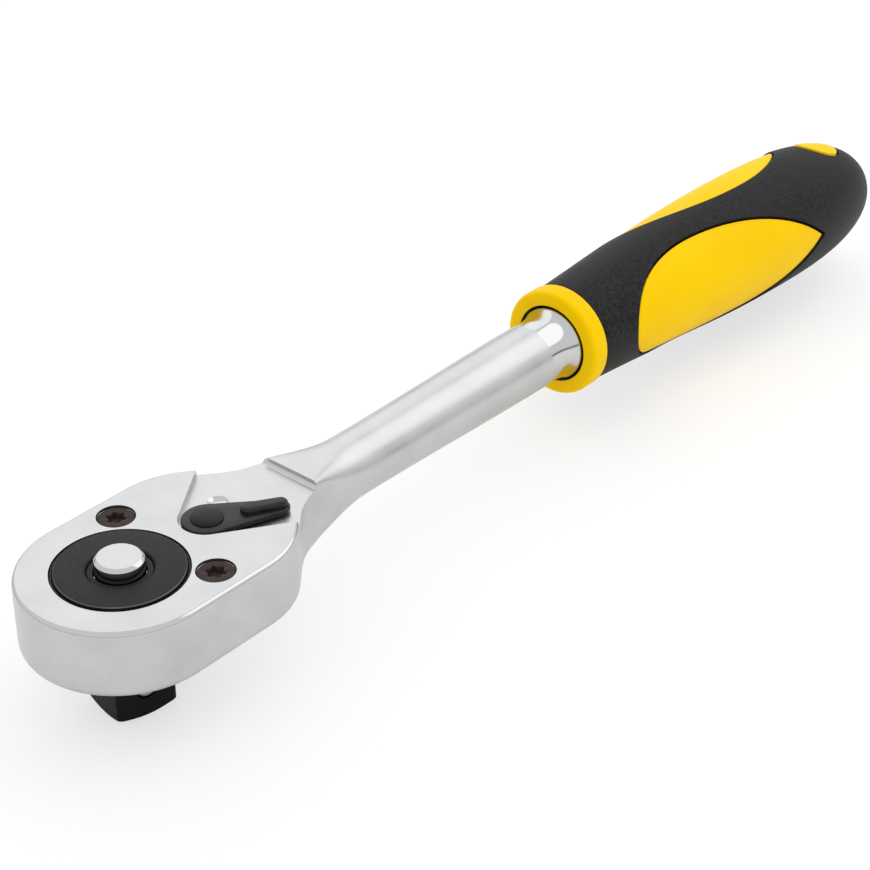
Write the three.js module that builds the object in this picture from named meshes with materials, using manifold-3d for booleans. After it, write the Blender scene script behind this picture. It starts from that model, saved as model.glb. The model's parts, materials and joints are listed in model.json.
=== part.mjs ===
// A half-inch square-drive reversible ratchet: forged pear head, 72-tooth drive gear with a quick-release
// anvil, rocking pawl with its lever, and a two-colour moulded handle. Millimetres and radians, +Z up.
// The origin is the centre of the anvil's end face, +Z runs up the drive axis to the release button,
// and +X runs along the handle.
import * as THREE from "three";
import { mergeVertices } from "three/addons/utils/BufferGeometryUtils.js";
import Module from "manifold-3d";

const DEG = Math.PI / 180;

// Fits between pieces
const RUNNING_CLEARANCE = 0.3; // between pieces that turn or slide on each other
const SEAT_CLEARANCE = 0.15; // between pieces that are fixed to each other

// Anvil and drive gear
const DRIVE_SQUARE = 12.7;
const DRIVE_CORNER = 1; // rounding of the square's four edges
const ANVIL_LENGTH = 15; // end face to the underside of the head
const ANVIL_TURN = -12 * DEG; // how the square stands at rest
const ANVIL_TIP_RADIUS = 6; // the turned end of the square
const ANVIL_TIP_TAPER = 2.6; // length of that turned end
const GEAR_TEETH = 72;
const GEAR_TIP_RADIUS = 14.5;
const TOOTH_HEIGHT = 0.55;
const TOOTH_TIP_SHARE = 0.14; // flat tip, as a share of the pitch
const TOP_JOURNAL_RADIUS = 12.7;
const BASE_JOURNAL_RADIUS = 10.4;
const BASE_COLLAR_DROP = 1; // the lower journal stands this far out of the head
const DISC_STEP = 0.45; // the disc that shows on top is this much smaller than its journal
const DISC_PROUD = 0.4;
const DISC_EDGE = 0.3;
const SEAL_DEPTH = 1.1; // groove round the disc
const SEAL_SINK = 0.3; // the seal lies this far under the head's top

// Quick release
const BUTTON_RADIUS = 4.7;
const BUTTON_PROUD = 2.9; // above the head's top
const BUTTON_EDGE = 0.6;
const BUTTON_FLANGE_WIDTH = 0.9;
const BUTTON_FLANGE_HEIGHT = 1.2;
const BUTTON_TRAVEL = 3;
const BUTTON_SOCKET_DEPTH = 2; // how deep the pin is pressed into the button
const CLIP_WIDTH = 1.1; // retaining ring
const CLIP_HEIGHT = 0.8;
const CLIP_SINK = 0.5; // below the disc's face
const PIN_END_COVER = 0.4; // spare depth under the pressed pin
const BALL_RADIUS = 2.4;
const BALL_HEIGHT = 6.2; // above the anvil's end face
const BALL_PROUD = 0.9; // out of the flat, and how far it goes in
const BALL_PIN_GAP = 0.25;
const BALL_LIP = 0.3; // staked rim that keeps the ball in
const BALL_LIP_RADIUS = 2.25;
const RELEASE_SPRING_LENGTH = 7.6;
const RELEASE_SPRING_RADIUS = 3.7;
const RELEASE_WIRE = 0.7;
const RELEASE_TURNS = 5;

// Head, cover plate and screws
const HEAD_HEIGHT = 14.5;
const HEAD_RADIUS = 19.6;
const HEAD_SIDE = 19; // straight sides, from the drive axis
const SHOULDER_RADIUS = 18;
const FLANK_ANGLE = 40 * DEG;
const NECK_FILLET = 20;
const NECK_HALF_WIDTH = 6.9;
const HEAD_EDGE = 1;
const HEAD_BASE_EDGE = 1.8; // rounder below
const TOP_WALL = 4;
const CAVITY_GAP = 0.4; // round the gear's teeth
const PLATE_THICKNESS = 2.5;
const PLATE_RIM = 2.2; // head left standing round the plate
const PLATE_END = 27; // centre of the plate's round end
const PLATE_EDGE = 0.4;
const SCREW_X = 11.1;
const SCREW_Y = 13.4;
const SCREW_RADIUS = 1.5;
const SCREW_HEAD_RADIUS = 3.5;
const SCREW_RIM = 0.3; // straight edge of the head
const SCREW_SINK = 0.3; // below the head's top
const SCREW_RECESS_RADIUS = 1.7;
const SCREW_RECESS_LOBE = 0.3;
const SCREW_RECESS_DEPTH = 1.2;

// Lever, spindle, pawl and their springs
const LEVER_X = 21.9; // spindle axis
const LEVER_SWING = 31 * DEG; // each way from the middle
const LEVER_BOSS_RADIUS = 5;
const LEVER_REACH = 16.1; // spindle axis to the tip
const LEVER_TIP_RADIUS = 2.3;
const LEVER_THICKNESS = 1.1;
const LEVER_FLOOR_GAP = 0.3; // under the lever
const LEVER_EDGE = 0.3;
const TAB_START = 8; // centre of the thumb tab's inner end
const TAB_START_RADIUS = 1.6;
const TAB_END_RADIUS = 1.4;
const TAB_END_GAP = 0.4; // tab to the lever's tip
const TAB_HEIGHT = 1.2; // above the lever's plate
const TAB_EDGE = 0.5;
const POCKET_DEPTH = 1.4; // milled in the head's top for the lever
const POCKET_GAP = 0.6; // round the boss
const POCKET_ANGLE = 34 * DEG; // each side of the middle
const POCKET_END = 44.4;
const SPINDLE_RADIUS = 3.2; // barrel inside the head
const SPINDLE_NECK_RADIUS = 2.4;
const RIVET_RADIUS = 3.2;
const RIVET_HEIGHT = 0.8;
const SEAL_RING_SECTION = 0.8;
const PAWL_HUB_RADIUS = 5;
const PAWL_BACK_RADIUS = 18.2; // about the drive axis
const PAWL_HALF_ANGLE = 37 * DEG;
const PAWL_RELIEF_ANGLE = 21 * DEG; // no teeth between the two ends
const PAWL_RELIEF = 1;
const PAWL_ROCK = 3 * DEG; // each way from the middle
const PAWL_TOOTH_GAP = 0.25;
const PAWL_POCKET_GAP = 1.2; // head cavity round the rocking pawl
const PAWL_POCKET_ANGLE = 42 * DEG;
const PAWL_BALL_RADIUS = 1.5;
const PAWL_BALL_PROUD = 0.7; // out of the spindle's barrel
const PAWL_CUSP_GAP = 0.15; // pawl to ball at mid swing
const PAWL_LOBE_GAP = 0.35; // pawl to ball at the ends of the swing
const PAWL_SPRING_TURNS = 3;
const PAWL_SPRING_WIRE = 0.35;
const SPINDLE_BACK_WALL = 0.8; // behind the spring's bore
const DETENT_REACH = 7.7; // spindle axis to the click ball
const DETENT_BALL_RADIUS = 0.5;
const DETENT_PROUD = 0.2; // below the lever
const DETENT_DIMPLE_RADIUS = 2.1;
const DETENT_DIMPLE_DEPTH = 0.7;
const DETENT_ROOF = 0.4; // tab left over the bore
const DETENT_SPRING_TURNS = 1;
const DETENT_SPRING_WIRE = 0.2;

// Neck, shank and tang
const NECK_LENGTH = 10; // end of the head to the round shank
const NECK_SQUARENESS = 9; // superellipse exponent where the neck leaves the head
const SHANK_FRONT_RADIUS = 6.65;
const SHANK_REAR_RADIUS = 7.4;
const BOLSTER_RADIUS = 8.5;
const BOLSTER_FLARE = 5;
const BOLSTER_INSET = 1.5; // how far the bolster enters the handle
const TANG_LENGTH = 76;
const TANG_RADIUS = 5;
const TANG_SQUARENESS = 4;

// Handle
const HANDLE_START = 128;
const COLLAR_RADIUS = 12.8;
const COLLAR_LENGTH = 3.4;
const COLLAR_EDGE = 0.7;
const GRIP_LENGTH = 119;
const GRIP_FRONT_RADIUS = 12.2;
const GRIP_SWELL_RADIUS = 15.5;
const GRIP_BUTT_LENGTH = 45.5; // from the widest place to the end
const GRIP_SWELL_EASE = 1.2; // how late the grip swells
const GRIP_BUTT_EXPONENT = 2.6; // how blunt the butt is
const GRIP_DROOP = 3.6; // how far the butt hangs below the shank's axis
const GRIP_DROOP_EXPONENT = 1.6;
const SLEEVE_WALL = 2.2;
const WINDOW_START = 15; // front edge of the blunt end, from the handle's start
const WINDOW_BLUNT = 23; // length of the round half of the leaf
const WINDOW_TAPER = 49; // length of the pointed half
const WINDOW_HALF_WIDTH = 16; // along the surface
const WINDOW_GAP = 0.3; // parting line round the window
const WINDOW_SINK = 0.45; // the leaf lies this far under the sleeve's surface
const WINDOW_SPREAD = 73 * DEG; // middle of each leaf, from the dot's side
const WINDOW_ROOT = 0.6; // how deep the leaf is rooted in the core
const DOT_X = 104; // from the handle's start
const DOT_RADIUS = 5.2;
const DOT_PROUD = 0.3;
const DOT_TURN = 98 * DEG; // from +Y towards +Z about the handle's axis
const GRIP_TURN = 108 * DEG; // middle between the leaves, from +Y towards +Z about the handle's axis
const WINDOW_MIDDLE = 54.5; // the two leaves are the same, turned round about this place

// Facets
const ARC_STEP = 12 * DEG;
const ROUND_SIDES = 48;
const SMALL_SIDES = 20;
const BALL_SIDES = 14;
const BALL_RINGS = 8;
const HANDLE_SIDES = 36;
const LEAF_STATIONS = 10;
const LEAF_SPOKES = 12;
const NECK_SIDES = 32;
const COIL_STEPS = 8;
const COIL_SIDES = 5;
const WELD = 1e-4;
const PAST = 1; // how far a cutter runs past a face

// Heights and places that follow from the driving dimensions
const HEAD_BOTTOM = ANVIL_LENGTH;
const HEAD_TOP = HEAD_BOTTOM + HEAD_HEIGHT;
const SHANK_AXIS = HEAD_BOTTOM + HEAD_HEIGHT / 2;
const CAVITY_FLOOR = HEAD_BOTTOM + PLATE_THICKNESS;
const CAVITY_ROOF = HEAD_TOP - TOP_WALL;
const GEAR_BOTTOM = CAVITY_FLOOR + RUNNING_CLEARANCE;
const GEAR_TOP = CAVITY_ROOF - RUNNING_CLEARANCE;
const DISC_TOP = HEAD_TOP + DISC_PROUD;
const DISC_RADIUS = TOP_JOURNAL_RADIUS - DISC_STEP;
const SHOULDER_Y = HEAD_RADIUS - SHOULDER_RADIUS;
const FLANK_X = HEAD_SIDE + SHOULDER_RADIUS * Math.sin(FLANK_ANGLE);
const FLANK_Y = SHOULDER_Y + SHOULDER_RADIUS * Math.cos(FLANK_ANGLE);
const FILLET_Y = NECK_HALF_WIDTH + NECK_FILLET;
const FLANK_DROP = FLANK_Y - FILLET_Y + NECK_FILLET * Math.cos(FLANK_ANGLE);
const NECK_X = FLANK_X + FLANK_DROP / Math.tan(FLANK_ANGLE) + NECK_FILLET * Math.sin(FLANK_ANGLE);
const POCKET_FLOOR = HEAD_TOP - POCKET_DEPTH;
const LEVER_BOTTOM = POCKET_FLOOR + LEVER_FLOOR_GAP;
const LEVER_TOP = LEVER_BOTTOM + LEVER_THICKNESS;
const TAB_TOP = LEVER_TOP + TAB_HEIGHT;
const GRIP_START = HANDLE_START + COLLAR_LENGTH;
const GRIP_SWELL_X = GRIP_START + GRIP_LENGTH - GRIP_BUTT_LENGTH;

const wasm = await Module();
wasm.setup();

// A closed geometry as a solid that can be joined and cut, with its faces turned outwards.
function solid(shape) {
  if (shape instanceof wasm.Manifold) return shape;
  const loose = shape.index ? shape.toNonIndexed() : shape;
  const bare = new THREE.BufferGeometry().setAttribute("position", loose.getAttribute("position"));
  const merged = mergeVertices(bare, WELD);
  const vertProperties = merged.attributes.position.array;
  const triVerts = new Uint32Array(merged.index.array);
  const made = new wasm.Manifold(new wasm.Mesh({ numProp: 3, vertProperties, triVerts }));
  if (made.volume() > 0) return made;
  return new wasm.Manifold(new wasm.Mesh({ numProp: 3, vertProperties, triVerts: triVerts.reverse() }));
}

function join(...shapes) {
  return shapes.map(solid).reduce((whole, piece) => whole.add(piece));
}

function cut(base, ...tools) {
  return tools.map(solid).reduce((whole, tool) => whole.subtract(tool), solid(base));
}

function geometryOf(made) {
  const mesh = solid(made).getMesh();
  const geometry = new THREE.BufferGeometry();
  geometry.setAttribute("position", new THREE.BufferAttribute(mesh.vertProperties, 3));
  geometry.setIndex(new THREE.BufferAttribute(mesh.triVerts, 1));
  geometry.computeVertexNormals();
  return geometry;
}

// Points of an arc, ends included.
function arc(x, y, radius, from, to) {
  const steps = Math.max(2, Math.ceil(Math.abs(to - from) / ARC_STEP));
  return Array.from({ length: steps + 1 }, (_, i) => {
    const angle = from + ((to - from) * i) / steps;
    return new THREE.Vector2(x + radius * Math.cos(angle), y + radius * Math.sin(angle));
  });
}

// A closed outline through lists of points, without the doubles where two arcs meet.
function outline(...stretches) {
  const points = stretches.flat();
  const apart = points.filter((point, i) => point.distanceTo(points[(i + 1) % points.length]) > WELD);
  return new THREE.Shape(apart);
}

// An outline raised from one height to another, with its edges rounded.
function prism(shape, bottom, top, edge = 0) {
  const geometry = new THREE.ExtrudeGeometry(shape, {
    depth: top - bottom - 2 * edge,
    bevelEnabled: edge > 0,
    bevelThickness: edge,
    bevelSize: edge,
    bevelOffset: -edge,
    bevelSegments: 2,
  });
  return geometry.translate(0, 0, bottom + edge);
}

// A closed profile of [radius, height] pairs turned about the Z axis.
function turned(profile, sides = SMALL_SIDES) {
  const points = profile.map(([radius, height]) => new THREE.Vector2(radius, height));
  return new THREE.LatheGeometry(points, sides).rotateX(Math.PI / 2);
}

function cylinder(radius, bottom, top, sides) {
  return turned([[0, bottom], [radius, bottom], [radius, top], [0, top]], sides);
}

// A closed skin over rings of points, with a fan over each end.
function loft(rings) {
  const sides = rings[0].length;
  const points = rings.flat();
  const faces = [];
  for (let r = 0; r + 1 < rings.length; r++) {
    for (let s = 0; s < sides; s++) {
      const a = r * sides + s;
      const b = r * sides + ((s + 1) % sides);
      faces.push(a, b, b + sides, a, b + sides, a + sides);
    }
  }
  for (const end of [0, rings.length - 1]) {
    const middle = points.length;
    const ring = rings[end];
    points.push(ring.reduce((sum, p) => sum.add(p), new THREE.Vector3()).divideScalar(sides));
    for (let s = 0; s < sides; s++) {
      const a = end * sides + s;
      const b = end * sides + ((s + 1) % sides);
      faces.push(...(end ? [a, b, middle] : [b, a, middle]));
    }
  }
  return new THREE.BufferGeometry().setFromPoints(points).setIndex(faces);
}

// A superellipse across the X axis: exponent 2 is round, a larger one squarer.
function section(x, halfWidth, halfHeight, exponent) {
  return Array.from({ length: NECK_SIDES }, (_, i) => {
    const angle = (2 * Math.PI * i) / NECK_SIDES;
    const across = Math.sign(Math.cos(angle)) * Math.abs(Math.cos(angle)) ** (2 / exponent);
    const up = Math.sign(Math.sin(angle)) * Math.abs(Math.sin(angle)) ** (2 / exponent);
    return new THREE.Vector3(x, halfWidth * across, SHANK_AXIS + halfHeight * up);
  });
}

// A coil spring standing on z = 0 as one tube, and its least gap to itself.
function coil(name, radius, wire, turns, length) {
  const steps = turns * COIL_STEPS;
  const middles = [];
  const rings = [];
  for (let i = 0; i <= steps; i++) {
    const angle = (2 * Math.PI * i) / COIL_STEPS;
    const height = wire / 2 + ((length - wire) * i) / steps;
    const place = (out, up) => new THREE.Vector3(out * Math.cos(angle), out * Math.sin(angle), height + up);
    middles.push(place(radius, 0));
    rings.push(
      Array.from({ length: COIL_SIDES }, (_, s) => {
        const round = (2 * Math.PI * s) / COIL_SIDES;
        return place(radius + (wire / 2) * Math.cos(round), (wire / 2) * Math.sin(round));
      }),
    );
  }
  let gap = Infinity;
  middles.forEach((a, i) =>
    middles.slice(i + COIL_STEPS / 2).forEach((b) => {
      gap = Math.min(gap, a.distanceTo(b) - wire);
    }),
  );
  console.log(name + ": least gap between curls " + gap.toFixed(2) + " mm");
  return loft(rings);
}

// Head, neck and shank: one forging

function headOutline() {
  return outline(
    arc(NECK_X, FILLET_Y, NECK_FILLET, -Math.PI / 2, -Math.PI / 2 - FLANK_ANGLE),
    arc(HEAD_SIDE, SHOULDER_Y, SHOULDER_RADIUS, Math.PI / 2 - FLANK_ANGLE, Math.PI / 2),
    arc(0, 0, HEAD_RADIUS, Math.PI / 2, (3 * Math.PI) / 2),
    arc(HEAD_SIDE, -SHOULDER_Y, SHOULDER_RADIUS, -Math.PI / 2, FLANK_ANGLE - Math.PI / 2),
    arc(NECK_X, -FILLET_Y, NECK_FILLET, Math.PI / 2 + FLANK_ANGLE, Math.PI / 2),
  );
}

// The cover plate follows the head's outline and closes with a round end; grow makes the recess for it.
function plateOutline(grow) {
  const inset = PLATE_RIM - grow;
  const shoulder = SHOULDER_RADIUS - inset;
  const endRadius =
    (FLANK_X - PLATE_END) * Math.sin(FLANK_ANGLE) + FLANK_Y * Math.cos(FLANK_ANGLE) - inset;
  const turn = Math.PI / 2 - FLANK_ANGLE;
  return outline(
    arc(PLATE_END, 0, endRadius, -turn, turn),
    arc(HEAD_SIDE, SHOULDER_Y, shoulder, turn, Math.PI / 2),
    arc(0, 0, HEAD_RADIUS - inset, Math.PI / 2, (3 * Math.PI) / 2),
    arc(HEAD_SIDE, -SHOULDER_Y, shoulder, -Math.PI / 2, -turn),
  );
}

// Flat milled for the lever: round about the spindle, open at both sides, ending in a step on the neck.
function leverPocket() {
  const radius = LEVER_BOSS_RADIUS + POCKET_GAP;
  const side = Math.PI / 2 + POCKET_ANGLE;
  const start = arc(LEVER_X, 0, radius, side, 2 * Math.PI - side);
  const spread = start[0].y + (POCKET_END - start[0].x) * Math.tan(POCKET_ANGLE);
  const corners = [new THREE.Vector2(POCKET_END, -spread), new THREE.Vector2(POCKET_END, spread)];
  return prism(outline(start, corners), POCKET_FLOOR, HEAD_TOP + PAST);
}

// A part of a ring about the drive axis, from -halfAngle to halfAngle.
function sector(inner, outer, halfAngle) {
  return outline(arc(0, 0, outer, -halfAngle, halfAngle), arc(0, 0, inner, halfAngle, -halfAngle));
}

// Shallow round dish that the click ball drops into.
function detentDimple(angle) {
  const radius = (DETENT_DIMPLE_RADIUS ** 2 + DETENT_DIMPLE_DEPTH ** 2) / (2 * DETENT_DIMPLE_DEPTH);
  const centre = POCKET_FLOOR - DETENT_DIMPLE_DEPTH + radius;
  return new THREE.SphereGeometry(radius, BALL_SIDES, 2 * BALL_RINGS).translate(
    LEVER_X + DETENT_REACH * Math.cos(angle),
    DETENT_REACH * Math.sin(angle),
    centre,
  );
}

// Clearance hole and countersink for a cover screw.
function screwHole(y) {
  const hole = SCREW_RADIUS + RUNNING_CLEARANCE;
  const rim = SCREW_HEAD_RADIUS + RUNNING_CLEARANCE;
  const rimBottom = HEAD_TOP - SCREW_SINK - SCREW_RIM;
  return turned([
    [0, HEAD_BOTTOM - PAST],
    [hole, HEAD_BOTTOM - PAST],
    [hole, rimBottom - rim + hole],
    [rim, rimBottom],
    [rim, HEAD_TOP + PAST],
    [0, HEAD_TOP + PAST],
  ]).translate(SCREW_X, y, 0);
}

function shank() {
  const bolsterEnd = HANDLE_START + BOLSTER_INSET;
  const flareStart = HANDLE_START - BOLSTER_FLARE;
  const rings = [];
  const neckSteps = 5;
  for (let i = 0; i <= neckSteps; i++) {
    const blend = THREE.MathUtils.smoothstep(i, 0, neckSteps);
    const width = THREE.MathUtils.lerp(NECK_HALF_WIDTH, SHANK_FRONT_RADIUS, blend);
    const height = THREE.MathUtils.lerp(HEAD_HEIGHT / 2, SHANK_FRONT_RADIUS, blend);
    const squareness = THREE.MathUtils.lerp(NECK_SQUARENESS, 2, Math.sqrt(blend));
    rings.push(section(NECK_X - HEAD_EDGE + (NECK_LENGTH * i) / neckSteps, width, height, squareness));
  }
  const round = (x, radius) => rings.push(section(x, radius, radius, 2));
  round(flareStart, SHANK_REAR_RADIUS);
  const flareSteps = 4;
  for (let i = 1; i <= flareSteps; i++) {
    const rise = 1 - Math.cos((i / flareSteps) * (Math.PI / 2));
    const radius = THREE.MathUtils.lerp(SHANK_REAR_RADIUS, BOLSTER_RADIUS, rise);
    round(flareStart + (BOLSTER_FLARE * i) / flareSteps, radius);
  }
  round(bolsterEnd, BOLSTER_RADIUS);
  rings.push(...tangSections(bolsterEnd, 0));
  return loft(rings);
}

// The tang is squarish, so that the handle can't turn on it; grow makes the hole for it.
function tangSections(start, grow) {
  const end = HANDLE_START + TANG_LENGTH + grow;
  const half = TANG_RADIUS + grow;
  return [section(start, half, half, TANG_SQUARENESS), section(end, half, half, TANG_SQUARENESS)];
}

// The head's block, with a small radius on its top edge and a larger one below.
function headBlock() {
  const below = prism(headOutline(), HEAD_BOTTOM, HEAD_TOP + HEAD_HEIGHT, HEAD_BASE_EDGE);
  const above = prism(headOutline(), HEAD_BOTTOM - HEAD_HEIGHT, HEAD_TOP, HEAD_EDGE);
  return solid(below).intersect(solid(above));
}

function bodyForging() {
  const cavityRadius = GEAR_TIP_RADIUS + CAVITY_GAP;
  const pawlRoom = PAWL_BACK_RADIUS + PAWL_POCKET_GAP;
  const plateSeat = CAVITY_FLOOR + SEAT_CLEARANCE;
  return cut(
    join(headBlock(), shank()),
    prism(plateOutline(SEAT_CLEARANCE), HEAD_BOTTOM - PAST, plateSeat),
    cylinder(cavityRadius, HEAD_BOTTOM, CAVITY_ROOF, ROUND_SIDES),
    prism(sector(PAST, pawlRoom, PAWL_POCKET_ANGLE), HEAD_BOTTOM, CAVITY_ROOF),
    cylinder(PAWL_HUB_RADIUS + POCKET_GAP, HEAD_BOTTOM, CAVITY_ROOF).translate(LEVER_X, 0, 0),
    cylinder(TOP_JOURNAL_RADIUS + RUNNING_CLEARANCE, HEAD_BOTTOM, HEAD_TOP + PAST, ROUND_SIDES),
    leverPocket(),
    cylinder(SPINDLE_NECK_RADIUS + RUNNING_CLEARANCE, HEAD_BOTTOM, HEAD_TOP).translate(LEVER_X, 0, 0),
    ...[-1, 1].map((side) => screwHole(side * SCREW_Y)),
    ...[-1, 1].map((side) => detentDimple(side * LEVER_SWING)),
  );
}

function coverPlate() {
  const thread = SCREW_RADIUS + SEAT_CLEARANCE;
  const screw = (y) => cylinder(thread, HEAD_BOTTOM - PAST, HEAD_TOP).translate(SCREW_X, y, 0);
  return cut(
    prism(plateOutline(0), HEAD_BOTTOM, CAVITY_FLOOR, PLATE_EDGE),
    cylinder(BASE_JOURNAL_RADIUS + RUNNING_CLEARANCE, HEAD_BOTTOM - PAST, HEAD_TOP, ROUND_SIDES),
    screw(SCREW_Y),
    screw(-SCREW_Y),
  );
}

// Countersunk screw with a six-lobe recess, at the origin's XY place.
function coverScrew() {
  const top = HEAD_TOP - SCREW_SINK;
  const rimBottom = top - SCREW_RIM;
  const coneTop = SCREW_HEAD_RADIUS - RUNNING_CLEARANCE / 2;
  const tip = HEAD_BOTTOM + PLATE_EDGE;
  const lobes = Array.from({ length: SMALL_SIDES }, (_, i) => {
    const angle = (2 * Math.PI * i) / SMALL_SIDES;
    const radius = SCREW_RECESS_RADIUS + SCREW_RECESS_LOBE * Math.cos(6 * angle);
    return new THREE.Vector2(radius * Math.cos(angle), radius * Math.sin(angle));
  });
  return cut(
    turned([
      [0, tip],
      [SCREW_RADIUS, tip],
      [SCREW_RADIUS, rimBottom - coneTop + SCREW_RADIUS],
      [coneTop, rimBottom],
      [SCREW_HEAD_RADIUS, rimBottom],
      [SCREW_HEAD_RADIUS, top],
      [0, top],
    ]),
    prism(new THREE.Shape(lobes), top - SCREW_RECESS_DEPTH, top + PAST),
  );
}

// Drive gear with its disc and anvil, and the quick release inside it

const BALL_CENTRE = DRIVE_SQUARE / 2 + BALL_PROUD - BALL_RADIUS; // from the drive axis
const BALL_ANGLE = ANVIL_TURN - Math.PI / 2; // the flat that faces -Y
const PIN_RADIUS = BALL_CENTRE - BALL_RADIUS - BALL_PIN_GAP;
const PIN_WAIST = PIN_RADIUS - BALL_PROUD;
const PIN_BOTTOM = BALL_HEIGHT - BALL_RADIUS / 2;
const CLIP_TOP = DISC_TOP - CLIP_SINK;
const CLIP_BOTTOM = CLIP_TOP - CLIP_HEIGHT;
const CLIP_INNER = BUTTON_RADIUS + RUNNING_CLEARANCE;
const CLIP_OUTER = CLIP_INNER + CLIP_WIDTH;
const FLANGE_RADIUS = BUTTON_RADIUS + BUTTON_FLANGE_WIDTH;
const FLANGE_TOP = CLIP_BOTTOM - RUNNING_CLEARANCE;
const FLANGE_BOTTOM = FLANGE_TOP - BUTTON_FLANGE_HEIGHT;
const SPRING_BOTTOM = FLANGE_BOTTOM - SEAT_CLEARANCE - RELEASE_SPRING_LENGTH;

// Symmetrical pointed teeth with narrow flat tips; grow offsets the whole outline outwards.
function gearOutline(grow = 0) {
  const pitch = (2 * Math.PI) / GEAR_TEETH;
  const tipHalf = (TOOTH_TIP_SHARE * pitch) / 2;
  const flank = Math.atan2((pitch / 2 - tipHalf) * GEAR_TIP_RADIUS, TOOTH_HEIGHT);
  const tip = GEAR_TIP_RADIUS + grow;
  const tipAngle = tipHalf + ((grow / Math.sin(flank) - grow) * Math.tan(flank)) / GEAR_TIP_RADIUS;
  const root = tip - ((pitch / 2 - tipAngle) * GEAR_TIP_RADIUS) / Math.tan(flank);
  const points = [];
  for (let tooth = 0; tooth < GEAR_TEETH; tooth++) {
    const middle = tooth * pitch;
    for (const [radius, angle] of [[tip, -tipAngle], [tip, tipAngle], [root, pitch / 2]]) {
      points.push(
        new THREE.Vector2(radius * Math.cos(middle + angle), radius * Math.sin(middle + angle)),
      );
    }
  }
  return new THREE.Shape(points);
}

// Square with rounded edges whose end is turned to a cone.
function anvil() {
  const corner = DRIVE_SQUARE / 2 - DRIVE_CORNER;
  const quarters = [0, 1, 2, 3].map((quarter) => {
    const from = (quarter * Math.PI) / 2;
    const x = corner * (quarter === 0 || quarter === 3 ? 1 : -1);
    const y = corner * (quarter < 2 ? 1 : -1);
    return arc(x, y, DRIVE_CORNER, from, from + Math.PI / 2);
  });
  const square = prism(outline(...quarters), 0, HEAD_BOTTOM).rotateZ(ANVIL_TURN);
  const end = turned(
    [[0, 0], [ANVIL_TIP_RADIUS, 0], [DRIVE_SQUARE, ANVIL_TIP_TAPER], [DRIVE_SQUARE, HEAD_TOP], [0, HEAD_TOP]],
    ROUND_SIDES,
  );
  return solid(square).intersect(solid(end));
}

// Cross hole for the ball, with the staked lip that keeps it in.
function ballBore() {
  const flat = DRIVE_SQUARE / 2;
  const radius = BALL_RADIUS + SEAT_CLEARANCE;
  return turned([
    [0, 0],
    [radius, 0],
    [radius, flat - BALL_LIP],
    [BALL_LIP_RADIUS, flat - BALL_LIP],
    [BALL_LIP_RADIUS, flat + PAST],
    [0, flat + PAST],
  ])
    .rotateY(Math.PI / 2)
    .rotateZ(BALL_ANGLE)
    .translate(0, 0, BALL_HEIGHT);
}

function driveGear() {
  const collarBottom = HEAD_BOTTOM - BASE_COLLAR_DROP;
  const collarEdge = BASE_COLLAR_DROP / 2;
  const middle = (GEAR_BOTTOM + GEAR_TOP) / 2;
  const journalTop = HEAD_TOP - SEAL_DEPTH;
  const blank = turned(
    [
      [0, collarBottom],
      [BASE_JOURNAL_RADIUS - collarEdge, collarBottom],
      [BASE_JOURNAL_RADIUS, collarBottom + collarEdge],
      [BASE_JOURNAL_RADIUS, middle],
      [TOP_JOURNAL_RADIUS, middle],
      [TOP_JOURNAL_RADIUS, journalTop],
      [DISC_RADIUS, journalTop],
      [DISC_RADIUS, DISC_TOP - DISC_EDGE],
      [DISC_RADIUS - DISC_EDGE, DISC_TOP],
      [0, DISC_TOP],
    ],
    ROUND_SIDES,
  );
  const pinBore = PIN_RADIUS + RUNNING_CLEARANCE;
  const buttonBore = FLANGE_RADIUS + RUNNING_CLEARANCE;
  const boreBottom = PIN_BOTTOM - BUTTON_TRAVEL - PIN_END_COVER;
  const springSeat = SPRING_BOTTOM - SEAT_CLEARANCE;
  const bore = turned([
    [0, boreBottom],
    [pinBore, boreBottom],
    [pinBore, springSeat],
    [buttonBore, springSeat],
    [buttonBore, CLIP_BOTTOM - SEAT_CLEARANCE],
    [CLIP_OUTER + SEAT_CLEARANCE, CLIP_BOTTOM - SEAT_CLEARANCE],
    [CLIP_OUTER + SEAT_CLEARANCE, DISC_TOP + PAST],
    [0, DISC_TOP + PAST],
  ]);
  return cut(join(blank, prism(gearOutline(), GEAR_BOTTOM, GEAR_TOP), anvil()), bore, ballBore());
}

// A plain ring of rectangular section.
function ring(inner, outer, bottom, top, sides) {
  return turned([[inner, bottom], [outer, bottom], [outer, top], [inner, top], [inner, bottom]], sides);
}

function gearSealRing() {
  const outer = TOP_JOURNAL_RADIUS + RUNNING_CLEARANCE - SEAT_CLEARANCE;
  const bottom = HEAD_TOP - SEAL_DEPTH + SEAT_CLEARANCE;
  return ring(DISC_RADIUS + SEAT_CLEARANCE, outer, bottom, HEAD_TOP - SEAL_SINK, ROUND_SIDES);
}

function releaseButton() {
  const socket = PIN_RADIUS + SEAT_CLEARANCE;
  const socketTop = FLANGE_BOTTOM + BUTTON_SOCKET_DEPTH + SEAT_CLEARANCE;
  const top = HEAD_TOP + BUTTON_PROUD;
  return turned([
    [0, socketTop],
    [socket, socketTop],
    [socket, FLANGE_BOTTOM],
    [FLANGE_RADIUS, FLANGE_BOTTOM],
    [FLANGE_RADIUS, FLANGE_TOP],
    [BUTTON_RADIUS, FLANGE_TOP],
    [BUTTON_RADIUS, top - BUTTON_EDGE],
    [BUTTON_RADIUS - BUTTON_EDGE, top],
    [0, top],
  ]);
}

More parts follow.
